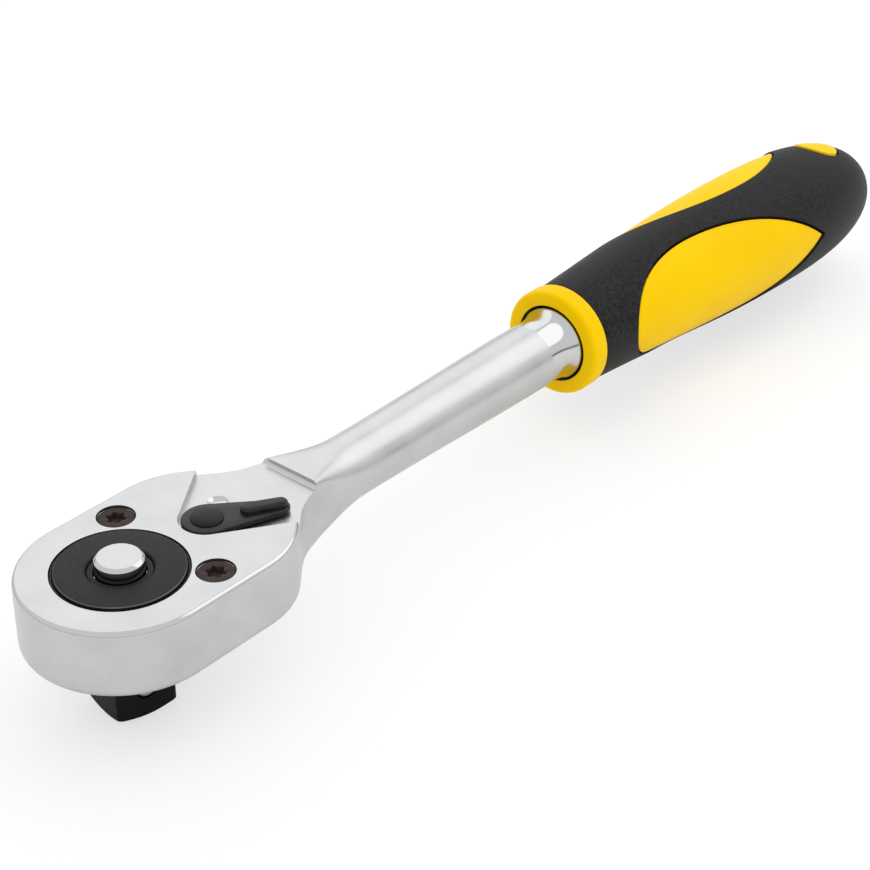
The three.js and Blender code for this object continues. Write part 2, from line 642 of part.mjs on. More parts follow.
// Stem whose cone lets the ball in as the button goes down.
function releasePin() {
  const waistBottom = BALL_HEIGHT + BUTTON_TRAVEL;
  const waistTop = waistBottom + BALL_RADIUS / 2;
  const top = FLANGE_BOTTOM + BUTTON_SOCKET_DEPTH;
  return turned([
    [0, PIN_BOTTOM],
    [PIN_RADIUS, PIN_BOTTOM],
    [PIN_RADIUS, BALL_HEIGHT],
    [PIN_WAIST, waistBottom],
    [PIN_WAIST, waistTop],
    [PIN_RADIUS, waistTop + BALL_PROUD],
    [PIN_RADIUS, top],
    [0, top],
  ]);
}

// Lever, spindle and pawl, about the spindle axis with the lever pointing along +X

const SPRING_HEIGHT = (GEAR_BOTTOM + GEAR_TOP) / 2; // of the cross bore in the spindle
const PAWL_BALL_X = PAWL_BALL_RADIUS - SPINDLE_RADIUS - PAWL_BALL_PROUD;
const SPRING_BORE_END = SPINDLE_RADIUS - SPINDLE_BACK_WALL;
const SPRING_BORE_RADIUS = PAWL_BALL_RADIUS + SEAT_CLEARANCE;
const DETENT_Z = LEVER_BOTTOM - DETENT_PROUD + DETENT_BALL_RADIUS;
const DETENT_BORE_RADIUS = DETENT_BALL_RADIUS + SEAT_CLEARANCE;
const DETENT_BORE_TOP = TAB_TOP - DETENT_ROOF;

// Two circles on the X axis joined by their tangents.
function taper(startX, startRadius, endX, endRadius) {
  const lean = Math.acos((startRadius - endRadius) / (endX - startX));
  return outline(
    arc(endX, 0, endRadius, -lean, lean),
    arc(startX, 0, startRadius, lean, 2 * Math.PI - lean),
  );
}

function reversingLever() {
  const tipX = LEVER_REACH - LEVER_TIP_RADIUS;
  const plateShape = taper(0, LEVER_BOSS_RADIUS, tipX, LEVER_TIP_RADIUS);
  const plate = prism(plateShape, LEVER_BOTTOM, LEVER_TOP, LEVER_EDGE);
  const tabEnd = LEVER_REACH - TAB_END_GAP - TAB_END_RADIUS;
  const tabShape = taper(TAB_START, TAB_START_RADIUS, tabEnd, TAB_END_RADIUS);
  const tab = prism(tabShape, LEVER_BOTTOM + LEVER_EDGE, TAB_TOP, TAB_EDGE);
  return cut(
    join(plate, tab),
    cylinder(SPINDLE_NECK_RADIUS + SEAT_CLEARANCE, LEVER_BOTTOM - PAST, TAB_TOP),
    cylinder(DETENT_BORE_RADIUS, LEVER_BOTTOM - PAST, DETENT_BORE_TOP).translate(DETENT_REACH, 0, 0),
  );
}

const SEAL_RING_OUTER = SPINDLE_NECK_RADIUS + RUNNING_CLEARANCE - SEAT_CLEARANCE;
const SEAL_RING_MIDDLE = SEAL_RING_OUTER - SEAL_RING_SECTION / 2;
const SEAL_RING_HEIGHT = (CAVITY_ROOF + POCKET_FLOOR) / 2;

function leverSpindle() {
  const grooveHalf = SEAL_RING_SECTION / 2 + SEAT_CLEARANCE;
  const groove = SEAL_RING_OUTER - SEAL_RING_SECTION - SEAT_CLEARANCE;
  const rivet = LEVER_TOP + SEAT_CLEARANCE;
  const dome = arc(0, 0, 1, 0, Math.PI / 2).map(({ x, y }) => [RIVET_RADIUS * x, rivet + RIVET_HEIGHT * y]);
  dome[dome.length - 1][0] = 0;
  const pin = turned([
    [0, GEAR_BOTTOM],
    [SPINDLE_RADIUS, GEAR_BOTTOM],
    [SPINDLE_RADIUS, GEAR_TOP],
    [SPINDLE_NECK_RADIUS, GEAR_TOP],
    [SPINDLE_NECK_RADIUS, SEAL_RING_HEIGHT - grooveHalf],
    [groove, SEAL_RING_HEIGHT - grooveHalf],
    [groove, SEAL_RING_HEIGHT + grooveHalf],
    [SPINDLE_NECK_RADIUS, SEAL_RING_HEIGHT + grooveHalf],
    [SPINDLE_NECK_RADIUS, rivet],
    ...dome,
  ]);
  const bore = cylinder(SPRING_BORE_RADIUS, -SPINDLE_RADIUS - PAST, SPRING_BORE_END);
  return cut(pin, bore.rotateY(Math.PI / 2).translate(0, 0, SPRING_HEIGHT));
}

function spindleSealRing() {
  return new THREE.TorusGeometry(SEAL_RING_MIDDLE, SEAL_RING_SECTION / 2, COIL_SIDES, SMALL_SIDES);
}

// Recess in the pawl for the ball: a low cusp at mid swing with a lobe at each side of it.
function pawlRecess() {
  const reach = SPINDLE_RADIUS + PAWL_BALL_PROUD;
  const spread = LEVER_SWING + Math.acos(PAWL_BALL_X / -reach);
  const points = arc(0, 0, 1, -spread, spread).map(({ x, y }) => {
    const angle = Math.atan2(y, x);
    const share = Math.min(1, Math.abs(angle) / LEVER_SWING);
    const gap = THREE.MathUtils.lerp(PAWL_CUSP_GAP, PAWL_LOBE_GAP, Math.sin((share * Math.PI) / 2) ** 2);
    return new THREE.Vector2(-(reach + gap) * x, -(reach + gap) * y);
  });
  return new THREE.Shape([new THREE.Vector2(0, 0), ...points]);
}

function reversingPawl() {
  const through = [GEAR_BOTTOM - PAST, GEAR_TOP + PAST];
  const endShape = sector(GEAR_TIP_RADIUS - PAST, PAWL_BACK_RADIUS, PAWL_HALF_ANGLE);
  const ends = prism(endShape, GEAR_BOTTOM, GEAR_TOP);
  const relief = prism(sector(PAST, GEAR_TIP_RADIUS + PAWL_RELIEF, PAWL_RELIEF_ANGLE), ...through);
  const gearAt = (rock) =>
    prism(gearOutline(PAWL_TOOTH_GAP), ...through).translate(-LEVER_X, 0, 0).rotateZ(rock);
  return cut(
    join(ends.translate(-LEVER_X, 0, 0), cylinder(PAWL_HUB_RADIUS, GEAR_BOTTOM, GEAR_TOP)),
    gearAt(PAWL_ROCK),
    gearAt(-PAWL_ROCK),
    relief.translate(-LEVER_X, 0, 0),
    cylinder(SPINDLE_RADIUS + RUNNING_CLEARANCE, ...through),
    prism(pawlRecess(), ...through),
  );
}

// Handle

// Radius of the grip at a place along the handle, or of what lies inset under it.
function gripRadius(x, inset = 0) {
  const front = GRIP_FRONT_RADIUS - inset;
  const swell = GRIP_SWELL_RADIUS - inset;
  if (x <= GRIP_SWELL_X) {
    const share = Math.max(0, (x - GRIP_START) / (GRIP_SWELL_X - GRIP_START));
    return front + (swell - front) * Math.sin((share * Math.PI) / 2) ** GRIP_SWELL_EASE;
  }
  const share = (x - GRIP_SWELL_X) / (GRIP_BUTT_LENGTH - inset);
  return swell * (1 - share ** GRIP_BUTT_EXPONENT) ** (1 / GRIP_BUTT_EXPONENT);
}

// The grip's profile from its front to the end of the butt, on the axis.
function gripProfile(start, inset = 0) {
  const frontSteps = 7;
  const buttSteps = 8;
  const points = [];
  for (let i = 0; i < frontSteps; i++) {
    const x = THREE.MathUtils.lerp(start, GRIP_SWELL_X, i / frontSteps);
    points.push([gripRadius(x, inset), x]);
  }
  for (let i = 0; i < buttSteps; i++) {
    const share = Math.sin((i / buttSteps) * (Math.PI / 2)) ** (2 / GRIP_BUTT_EXPONENT);
    const x = GRIP_SWELL_X + share * (GRIP_BUTT_LENGTH - inset);
    points.push([gripRadius(x, inset), x]);
  }
  points.push([0, GRIP_SWELL_X + GRIP_BUTT_LENGTH - inset]);
  return points;
}

// How far the grip's middle hangs below the shank's axis.
function droop(x) {
  const share = Math.max(0, (x - GRIP_START) / GRIP_LENGTH);
  return GRIP_DROOP * share ** GRIP_DROOP_EXPONENT;
}

function alongHandle(profile) {
  const geometry = turned(profile, HANDLE_SIDES).rotateY(Math.PI / 2);
  const points = geometry.attributes.position;
  for (let i = 0; i < points.count; i++) {
    points.setZ(i, points.getZ(i) + SHANK_AXIS - droop(points.getX(i)));
  }
  return geometry;
}

// A leaf wrapped round the grip: blunt at one end, pointed at the other. The second one is turned about.
function windowLeaf(turnedAbout, grow, inset, proud) {
  const blunt = WINDOW_BLUNT + grow;
  const point = WINDOW_TAPER + 2 * grow;
  const halfWidth = WINDOW_HALF_WIDTH + grow;
  const sideRadius = (point ** 2 + halfWidth ** 2) / (2 * halfWidth);
  const rings = [];
  for (let i = 0; i <= LEAF_STATIONS; i++) {
    const run = ((blunt + point) * (1 - Math.cos((Math.PI * i) / LEAF_STATIONS))) / 2;
    const fromWidest = run - blunt;
    const width =
      fromWidest < 0
        ? halfWidth * Math.sqrt(1 - (fromWidest / blunt) ** 2)
        : Math.sqrt(sideRadius ** 2 - fromWidest ** 2) - sideRadius + halfWidth;
    const place = WINDOW_START - grow + run;
    const x = HANDLE_START + (turnedAbout ? 2 * WINDOW_MIDDLE - place : place);
    const spread = Math.max(width, WINDOW_GAP) / gripRadius(x);
    const middle = GRIP_TURN + (turnedAbout ? -1 : 1) * WINDOW_SPREAD;
    const axis = SHANK_AXIS - droop(x);
    const across = (radius) =>
      Array.from({ length: LEAF_SPOKES + 1 }, (_, s) => {
        const angle = middle + spread * ((2 * s) / LEAF_SPOKES - 1);
        return new THREE.Vector3(x, radius * Math.cos(angle), axis + radius * Math.sin(angle));
      });
    rings.push([...across(gripRadius(x) + proud), ...across(gripRadius(x, inset)).reverse()]);
  }
  return loft(rings);
}

// Round peg across the handle for the dot.
function dotPeg(radius) {
  const x = HANDLE_START + DOT_X;
  return cylinder(radius, gripRadius(x, SLEEVE_WALL + WINDOW_ROOT), gripRadius(x) + DOT_PROUD + PAST)
    .rotateX(DOT_TURN - Math.PI / 2)
    .translate(x, 0, SHANK_AXIS - droop(x));
}

// The dot follows the grip's surface and stands a little out of it.
function dot() {
  const around = alongHandle([[0, GRIP_START], ...gripProfile(GRIP_START, -DOT_PROUD)]);
  return solid(dotPeg(DOT_RADIUS)).intersect(solid(around));
}

function handleCore() {
  const rooted = SLEEVE_WALL + WINDOW_ROOT;
  const core = alongHandle([
    [0, HANDLE_START],
    [COLLAR_RADIUS - COLLAR_EDGE, HANDLE_START],
    [COLLAR_RADIUS, HANDLE_START + COLLAR_EDGE],
    [COLLAR_RADIUS, GRIP_START],
    ...gripProfile(GRIP_START, SLEEVE_WALL),
  ]);
  const leaves = [false, true].map((turnedAbout) => windowLeaf(turnedAbout, 0, rooted, -WINDOW_SINK));
  const mouth = BOLSTER_RADIUS + RUNNING_CLEARANCE;
  const mouthEnd = HANDLE_START + BOLSTER_INSET + RUNNING_CLEARANCE;
  return cut(
    join(core, ...leaves, dot()),
    alongHandle([[0, HANDLE_START - PAST], [mouth, HANDLE_START - PAST], [mouth, mouthEnd], [0, mouthEnd]]),
    loft(tangSections(HANDLE_START, SEAT_CLEARANCE)),
  );
}

function gripSleeve() {
  const front = GRIP_START + SEAT_CLEARANCE;
  const inside = gripProfile(front, SLEEVE_WALL - SEAT_CLEARANCE).reverse();
  const windowDepth = SLEEVE_WALL + WINDOW_ROOT;
  return cut(
    alongHandle([...inside, ...gripProfile(front)]),
    windowLeaf(false, WINDOW_GAP, windowDepth, PAST),
    windowLeaf(true, WINDOW_GAP, windowDepth, PAST),
    dotPeg(DOT_RADIUS + WINDOW_GAP),
  );
}

// Assembly

function finish(color, roughness, metalness) {
  return new THREE.MeshStandardMaterial({ color, roughness, metalness });
}

const chrome = finish(0xd4d6d8, 0.25, 1);
const darkSteel = finish(0x3e3e40, 0.45, 0.8);
const brightSteel = finish(0xb9bcc0, 0.3, 1);
const brownedSteel = finish(0x3a2f2a, 0.5, 0.8);
const blackEnamel = finish(0x1c1c1e, 0.4, 0.2);
const sealRubber = finish(0x151515, 0.8, 0);
const yellowPlastic = finish(0xfdd60a, 0.4, 0);
const blackRubber = finish(0x2a2a2a, 0.8, 0);

const ratchet = new THREE.Group();

function place(parent, name, shape, material) {
  const mesh = new THREE.Mesh(geometryOf(shape), material);
  mesh.name = name;
  parent.add(mesh);
  return mesh;
}

place(ratchet, "body_forging", bodyForging(), chrome);
place(ratchet, "cover_plate", coverPlate(), brightSteel);
place(ratchet, "cover_screw_left", coverScrew(), brownedSteel).position.set(SCREW_X, SCREW_Y, 0);
place(ratchet, "cover_screw_right", coverScrew(), brownedSteel).position.set(SCREW_X, -SCREW_Y, 0);
place(ratchet, "handle_core", handleCore(), yellowPlastic);
place(ratchet, "grip_sleeve", gripSleeve(), blackRubber);
place(ratchet, "gear_seal_ring", gearSealRing(), sealRubber);

const drive = new THREE.Group();
ratchet.add(drive);
place(drive, "drive_gear", driveGear(), darkSteel);
place(drive, "button_retaining_ring", ring(CLIP_INNER, CLIP_OUTER, CLIP_BOTTOM, CLIP_TOP), darkSteel);
place(drive, "release_button", releaseButton(), chrome);
place(drive, "release_pin", releasePin(), brightSteel);
const releaseCoil = coil(
  "release_spring",
  RELEASE_SPRING_RADIUS,
  RELEASE_WIRE,
  RELEASE_TURNS,
  RELEASE_SPRING_LENGTH,
);
place(drive, "release_spring", releaseCoil, brightSteel).position.z = SPRING_BOTTOM;
const socketBall = new THREE.SphereGeometry(BALL_RADIUS, BALL_SIDES, BALL_RINGS);
place(drive, "socket_ball", socketBall, brightSteel).position.set(
  BALL_CENTRE * Math.cos(BALL_ANGLE),
  BALL_CENTRE * Math.sin(BALL_ANGLE),
  BALL_HEIGHT,
);

const lever = new THREE.Group();
lever.position.x = LEVER_X;
lever.rotation.z = -LEVER_SWING;
ratchet.add(lever);
place(lever, "reversing_lever", reversingLever(), blackEnamel);
place(lever, "lever_spindle", leverSpindle(), brownedSteel);
place(lever, "spindle_seal_ring", spindleSealRing(), sealRubber).position.z = SEAL_RING_HEIGHT;
const pawlBall = new THREE.SphereGeometry(PAWL_BALL_RADIUS, BALL_SIDES, BALL_RINGS);
place(lever, "pawl_ball", pawlBall, brightSteel).position.set(PAWL_BALL_X, 0, SPRING_HEIGHT);
const pawlSpringStart = PAWL_BALL_X + PAWL_BALL_RADIUS + SEAT_CLEARANCE;
const pawlCoil = coil(
  "pawl_spring",
  SPRING_BORE_RADIUS - SEAT_CLEARANCE - PAWL_SPRING_WIRE / 2,
  PAWL_SPRING_WIRE,
  PAWL_SPRING_TURNS,
  SPRING_BORE_END - SEAT_CLEARANCE - pawlSpringStart,
);
const pawlSpring = place(lever, "pawl_spring", pawlCoil, brightSteel);
pawlSpring.rotation.y = Math.PI / 2;
pawlSpring.position.set(pawlSpringStart, 0, SPRING_HEIGHT);
const detentBall = new THREE.SphereGeometry(DETENT_BALL_RADIUS, BALL_SIDES, BALL_RINGS);
place(lever, "lever_detent_ball", detentBall, brightSteel).position.set(DETENT_REACH, 0, DETENT_Z);
const detentSpringBottom = DETENT_Z + DETENT_BALL_RADIUS + SEAT_CLEARANCE;
const detentCoil = coil(
  "lever_detent_spring",
  DETENT_BORE_RADIUS - SEAT_CLEARANCE - DETENT_SPRING_WIRE / 2,
  DETENT_SPRING_WIRE,
  DETENT_SPRING_TURNS,
  DETENT_BORE_TOP - SEAT_CLEARANCE - detentSpringBottom,
);
const detentSpring = place(lever, "lever_detent_spring", detentCoil, brightSteel);
detentSpring.position.set(DETENT_REACH, 0, detentSpringBottom);

const pawl = new THREE.Group();
pawl.position.x = LEVER_X;
pawl.rotation.z = PAWL_ROCK;
ratchet.add(pawl);
place(pawl, "reversing_pawl", reversingPawl(), darkSteel);

export default ratchet;
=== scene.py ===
"""Dresses the packed socket ratchet: a chromed pear head, its drive and lever, and a two-colour grip."""

import json
import math

import bpy
from mathutils import Matrix, Vector


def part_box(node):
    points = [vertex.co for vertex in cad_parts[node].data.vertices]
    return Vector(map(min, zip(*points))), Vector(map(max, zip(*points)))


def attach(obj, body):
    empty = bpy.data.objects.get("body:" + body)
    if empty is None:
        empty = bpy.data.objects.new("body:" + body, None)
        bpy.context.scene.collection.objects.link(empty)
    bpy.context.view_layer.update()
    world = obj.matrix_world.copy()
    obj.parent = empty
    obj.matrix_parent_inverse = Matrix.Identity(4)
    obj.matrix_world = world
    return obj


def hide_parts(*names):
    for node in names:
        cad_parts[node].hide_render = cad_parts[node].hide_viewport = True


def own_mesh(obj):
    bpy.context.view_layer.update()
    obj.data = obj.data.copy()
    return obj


bl_info = {
    "name": "Socket ratchet",
    "version": (1, 0, 0),
    "blender": (4, 5, 0),
    "location": "View3D > Sidebar > Ratchet",
    "description": "Models and finishes a reversible socket ratchet round its packed solids",
    "category": "Object",
}

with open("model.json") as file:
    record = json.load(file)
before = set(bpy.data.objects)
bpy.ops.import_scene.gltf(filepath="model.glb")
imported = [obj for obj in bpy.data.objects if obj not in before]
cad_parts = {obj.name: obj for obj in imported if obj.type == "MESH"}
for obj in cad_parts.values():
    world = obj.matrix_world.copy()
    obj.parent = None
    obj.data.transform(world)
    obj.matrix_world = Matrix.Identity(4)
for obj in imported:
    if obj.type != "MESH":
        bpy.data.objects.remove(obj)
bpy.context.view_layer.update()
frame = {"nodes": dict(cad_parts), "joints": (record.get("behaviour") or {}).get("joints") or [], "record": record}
MM = 0.001
JOINTS = {joint["name"]: joint for joint in frame["joints"]}


def heights(node):
    """Lowest and highest place of a packed solid."""
    return [corner.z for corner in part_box(node)]


def middle_of(node):
    return sum(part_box(node), Vector()) / 2


# Places that the packed solids give
HEAD_BOTTOM, CAVITY_FLOOR = heights("cover_plate")
SHANK_AXIS = middle_of("body_forging").z
HEAD_TOP = 2 * SHANK_AXIS - HEAD_BOTTOM
NOSE_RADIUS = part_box("body_forging")[1].y
TANG_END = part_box("body_forging")[1].x
GEAR_BOTTOM, GEAR_TOP = heights("reversing_pawl")
GEAR_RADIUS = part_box("drive_gear")[1].y
DISC_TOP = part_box("drive_gear")[1].z
SCREW_PLACE = middle_of("cover_screw_left")
SCREW_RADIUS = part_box("cover_screw_left")[1].x - SCREW_PLACE.x
SCREW_BOTTOM, SCREW_TOP = heights("cover_screw_left")
SPINDLE_X = JOINTS["lever_swing"]["pos_m"][0]
LEVER_BOTTOM, TAB_TOP = heights("reversing_lever")
RIVET_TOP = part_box("lever_spindle")[1].z
BUTTON_BOTTOM, BUTTON_TOP = heights("release_button")
BUTTON_TRAVEL = JOINTS["release_press"]["range_m"][1]
FLANGE_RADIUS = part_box("release_button")[1].x
PIN_BOTTOM, PIN_TOP = heights("release_pin")
PIN_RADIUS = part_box("release_pin")[1].x
CLIP_BOTTOM, CLIP_TOP = heights("button_retaining_ring")
CLIP_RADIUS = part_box("button_retaining_ring")[1].x
SEAL_BOTTOM, SEAL_TOP = heights("gear_seal_ring")
SEAL_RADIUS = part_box("gear_seal_ring")[1].x
BALL_CENTRE = middle_of("socket_ball")
BALL_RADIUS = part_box("socket_ball")[1].z - BALL_CENTRE.z
HANDLE_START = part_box("handle_core")[0].x
GRIP_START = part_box("grip_sleeve")[0].x
GRIP_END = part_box("grip_sleeve")[1].x

# Places and gaps that the pieces share
FIT = 0.15 * MM  # gap between pieces that sit together
ROOM = 0.3 * MM  # gap round pieces that move or drop in
CAVITY_ROOF = GEAR_TOP + ROOM
COLLAR_START = HANDLE_START - 1.2 * MM  # the collar reaches a little over the bolster
SWELL_START = HANDLE_START + 3.4 * MM  # where the grip starts to swell and to hang
TANG = 5 * MM  # half width of the tang
TANG_EDGE = 2 * MM
LEAF_ROOT = 0.6 * MM  # how far the leaves and the dot reach into the core
SCREW_RIM = 0.3 * MM  # height of the rim above a screw's cone
SCREW_SHAFT = 1.5 * MM
GEAR_TEETH = 72
TOOTH_DEPTH = 0.55 * MM

# Smoothness of the modelled pieces
ROUND_STEPS = 128
SMALL_STEPS = 64
GRIP_STEPS = 160
ARC_STEP = math.radians(3)
WELD = 1e-6
PAST = 2 * MM  # how far a cutter runs past a face


def setting(name, description, value, **kind):
    """A number that a user may change."""
    return bpy.props.FloatProperty(name=name, description=description, default=value, **kind)


def length(name, description, millimetres):
    kind = {"min": 0.0, "precision": 5, "subtype": "DISTANCE", "unit": "LENGTH"}
    return setting(name, description, millimetres * MM, **kind)


def angle(name, description, degrees):
    return setting(name, description, math.radians(degrees), subtype="ANGLE", unit="ROTATION")


def share(name, description, value):
    return setting(name, description, value, min=0.0, max=1.0, subtype="FACTOR")


def colour(name, description, red, green, blue):
    return bpy.props.FloatVectorProperty(
        name=name,
        description=description,
        default=(red, green, blue),
        size=3,
        min=0.0,
        max=1.0,
        subtype="COLOR",
    )


class HeadSizes(bpy.types.PropertyGroup):
    """Sizes of the forged head, neck and shank."""

    side: length("Straight side", "Length of the straight sides from the drive axis", 19)
    shoulder: length("Shoulder radius", "Convex radius between side and flank", 18)
    flank: angle("Flank angle", "Slope of the flank towards the neck", 40)
    fillet: length("Neck fillet", "Concave radius into the neck", 20)
    neck: length("Neck half width", "Half width where the head ends", 6.9)
    edge: length("Top edge radius", "Polished rounding of the top edge", 1.0)
    base_edge: length("Base edge radius", "Rounding of the bottom edge", 1.8)
    cut_edge: length("Machined edge", "Rounding of the milled and bored edges", 0.22)
    blend_start: length("Blend start", "Where the neck starts to turn round", 42)
    blend_end: length("Blend end", "Where the neck is a round shank", 61)
    shank_front: length("Shank front radius", "Radius of the shank behind the neck", 6.65)
    shank_rear: length("Shank rear radius", "Radius of the shank before the bolster", 7.4)
    bolster: length("Bolster radius", "Radius of the polished bolster at the handle", 8.5)
    bolster_length: length("Bolster length", "Length of the polished flare", 9.5)
    disc_hole: length("Disc hole", "Radius of the hole for the drive's disc", 13.0)
    pocket_depth: length("Pocket depth", "Depth of the flat milled for the lever", 1.4)
    pocket_radius: length("Pocket radius", "Radius of the flat round the spindle", 5.6)
    pocket_angle: angle("Pocket angle", "Opening of the flat, each side", 34)
    pocket_end: length("Pocket end", "Where the flat ends in a step on the neck", 44.4)
    pocket_runout: length("Pocket run-out", "Radius left by the cutter at the step", 0.9)
    dimple: length("Dimple radius", "Radius of the click dimples in the flat", 2.1)
    dimple_depth: length("Dimple depth", "Depth of the click dimples", 0.7)
    dimple_reach: length("Dimple reach", "Distance of the dimples from the spindle", 7.7)


class HandleSizes(bpy.types.PropertyGroup):
    """Sizes of the moulded handle."""

    collar: length("Collar radius", "Radius of the yellow front collar", 12.2)
    collar_hole: length("Collar hole", "Radius of the hole round the bolster", 8.7)
    collar_edge: length("Collar edge", "Rounding of the collar", 1.0)
    front: length("Front radius", "Radius of the grip behind the collar", 11.8)
    swell: length("Swell radius", "Largest radius of the grip", 15.5)
    droop: length("Droop", "How far the butt hangs below the shank's axis", 3.6)
    butt: length("Butt length", "From the widest place to the end", 45.5)
    wall: length("Sleeve wall", "Thickness of the black sleeve", 2.2)
    leaf_start: length("Leaf start", "Front of the blunt end behind the handle's front", 15)
    leaf_blunt: length("Leaf blunt end", "Length of the round half of the leaf", 26.5)
    leaf_taper: length("Leaf taper", "Length of the pointed half of the leaf", 45)
    leaf_width: length("Leaf half width", "Half width along the surface", 15.2)
    leaf_middle: length("Leaf middle", "The leaves are turned about this place", 56.2)
    leaf_gap: length("Parting gap", "Groove between leaf and sleeve", 0.55)
    leaf_sink: length("Leaf sink", "How far the leaf lies under the sleeve's surface", 0.45)
    lip: length("Sleeve lip", "Rounding of the sleeve round its windows", 0.5)
    turn: angle("Grip turn", "Middle between the leaves, round the handle", 108)
    leaf_spread: angle("Leaf spread", "Middle of each leaf from there", 70)
    dot_place: length("Dot place", "Dot behind the handle's front", 106.5)
    dot_turn: angle("Dot turn", "Place of the dot round the handle", 87)
    dot: length("Dot radius", "Radius of the yellow dot", 5.2)
    dot_proud: length("Dot height", "How far the dot stands out of the grip", 0.3)


class LeverSizes(bpy.types.PropertyGroup):
    """Sizes of the reversing lever and the drive."""

    swing: angle("Lever at rest", "Where the lever points at rest", -31)
    boss: length("Boss radius", "Radius of the lever round its spindle", 5)
    reach: length("Lever reach", "Spindle axis to the lever's tip", 16.1)
    tip: length("Tip radius", "Radius of the lever's tip", 2.3)
    thickness: length("Lever thickness", "Thickness of the lever's plate", 1.1)
    tab_start: length("Tab start", "Centre of the tab's inner end", 8)
    tab_radius: length("Tab radius", "Radius of the tab's inner end", 1.6)
    tab_end_radius: length("Tab end radius", "Radius of the tab's outer end", 1.4)
    spindle: length("Spindle radius", "Barrel of the spindle inside the head", 3.2)
    spindle_neck: length("Spindle neck", "Neck of the spindle through the head", 2.4)
    square: length("Drive square", "Width over the anvil's flats", 12.7)
    square_turn: angle("Square turn", "How the anvil stands at rest", -12)
    square_corner: length("Square corner", "Rounding of the anvil's edges", 1)
    disc: length("Disc radius", "Radius of the dark disc", 12.25)
    button: length("Button radius", "Radius of the release button", 4.7)
    top_journal: length("Top journal", "Radius of the drive in the head", 12.7)
    base_journal: length("Base journal", "Radius of the drive in the cover plate", 10.4)


class Finishes(bpy.types.PropertyGroup):
    """Colours and roughness of the finishes."""

    chrome: colour("Chrome", "Satin chrome of the forging", 0.56, 0.565, 0.57)
    chrome_roughness: share("Satin", "Roughness of the satin chrome", 0.33)
    disc: colour("Black oxide", "Drive disc and anvil", 0.014, 0.014, 0.015)
    screw: colour("Browned steel", "Cover screws", 0.044, 0.028, 0.025)
    lever: colour("Lever enamel", "Reversing lever", 0.013, 0.013, 0.014)
    yellow: colour("Yellow plastic", "Core of the handle", 1.0, 0.65, 0.0)
    rubber: colour("Black rubber", "Sleeve of the handle", 0.012, 0.012, 0.0124)
    # The seal colour is also painted shade, in the gap round the bolster and in the grooves round the leaves
    seal: colour("Seal rubber", "Rings and grooves", 0.006, 0.006, 0.006)
    steel: colour("Ground steel", "Plate, pins and balls", 0.55, 0.55, 0.56)


# Mesh helpers


def select_only(piece):
    bpy.ops.object.select_all(action="DESELECT")
    piece.select_set(True)
    bpy.context.view_layer.objects.active = piece


def new_piece(name, points, edges=(), faces=()):
    mesh = bpy.data.meshes.new(name)
    mesh.from_pydata([tuple(point) for point in points], edges, faces)
    piece = bpy.data.objects.new(name, mesh)
    bpy.context.scene.collection.objects.link(piece)
    select_only(piece)
    return piece


def edit_all(piece):
    """Enters edit mode with everything selected."""
    select_only(piece)
    bpy.ops.object.mode_set(mode="EDIT")
    bpy.ops.mesh.select_all(action="SELECT")


def close_up(piece):
    """Merges doubles and turns the faces outwards, then leaves edit mode."""
    bpy.ops.mesh.select_all(action="SELECT")
    bpy.ops.mesh.remove_doubles(threshold=WELD)
    bpy.ops.mesh.dissolve_degenerate(threshold=WELD)
    bpy.ops.mesh.normals_make_consistent(inside=False)
    bpy.ops.object.mode_set(mode="OBJECT")
    return piece


def modify(piece, kind, **settings):
    """Adds a modifier and applies it."""
    modifier = piece.modifiers.new(kind.lower(), kind)
    for key, value in settings.items():
        setattr(modifier, key, value)
    select_only(piece)
    bpy.ops.object.modifier_apply(modifier=modifier.name)
    return piece


def boolean(piece, operation, *tools):
    for tool in tools:
        modify(piece, "BOOLEAN", operation=operation, object=tool, solver="EXACT")
        bpy.data.objects.remove(tool)
    return piece


def cut(piece, *tools):
    return boolean(piece, "DIFFERENCE", *tools)


def join(piece, *others):
    return boolean(piece, "UNION", *others)


def soften(piece, width, segments=2):
    """Rounds the sharp edges a little."""
    return modify(
        piece,
        "BEVEL",
        width=width,
        segments=segments,
        limit_method="ANGLE",
        angle_limit=math.radians(35),
        use_clamp_overlap=True,
        miter_outer="MITER_ARC",
    )


def smooth(piece, degrees=32):
    select_only(piece)
    bpy.ops.object.shade_smooth_by_angle(angle=math.radians(degrees))
    return piece


def spun(name, profile, steps=SMALL_STEPS):
    """A profile of (radius, height) pairs spun about the Z axis; one that closes on itself makes a ring."""
    points = [Vector((radius, 0, height)) for radius, height in profile]
    piece = new_piece(name, points, [(i, i + 1) for i in range(len(points) - 1)])
    edit_all(piece)
    bpy.ops.mesh.spin(steps=steps, angle=2 * math.pi, center=(0, 0, 0), axis=(0, 0, 1))
    return close_up(piece)


def cylinder(name, radius, bottom, top, x=0.0, y=0.0, steps=SMALL_STEPS):
    """A plain upright cylinder, for a cutter."""
    bpy.ops.object.select_all(action="DESELECT")
    bpy.ops.mesh.primitive_cylinder_add(
        vertices=steps,
        radius=radius,
        depth=top - bottom,
        location=(x, y, (top + bottom) / 2),
    )
    piece = bpy.context.active_object
    piece.name = name
    bpy.ops.object.transform_apply(location=True, rotation=True, scale=True)
    return piece


def prism(name, outline, bottom, top):
    """An outline raised from one height to another."""
    points = [Vector((x, y, bottom)) for x, y in outline]
    piece = new_piece(name, points, (), [tuple(range(len(points)))])
    edit_all(piece)
    bpy.ops.mesh.extrude_region_move(TRANSFORM_OT_translate={"value": (0, 0, top - bottom)})
    return close_up(piece)


def turn_piece(piece, matrix):
    """Places a piece, with its place in its mesh."""
    piece.data.transform(matrix)
    return piece


def arc(x, y, radius, start, end):
    steps = max(2, math.ceil(abs(end - start) / ARC_STEP))
    angles = [start + (end - start) * i / steps for i in range(steps + 1)]
    return [(x + radius * math.cos(a), y + radius * math.sin(a)) for a in angles]


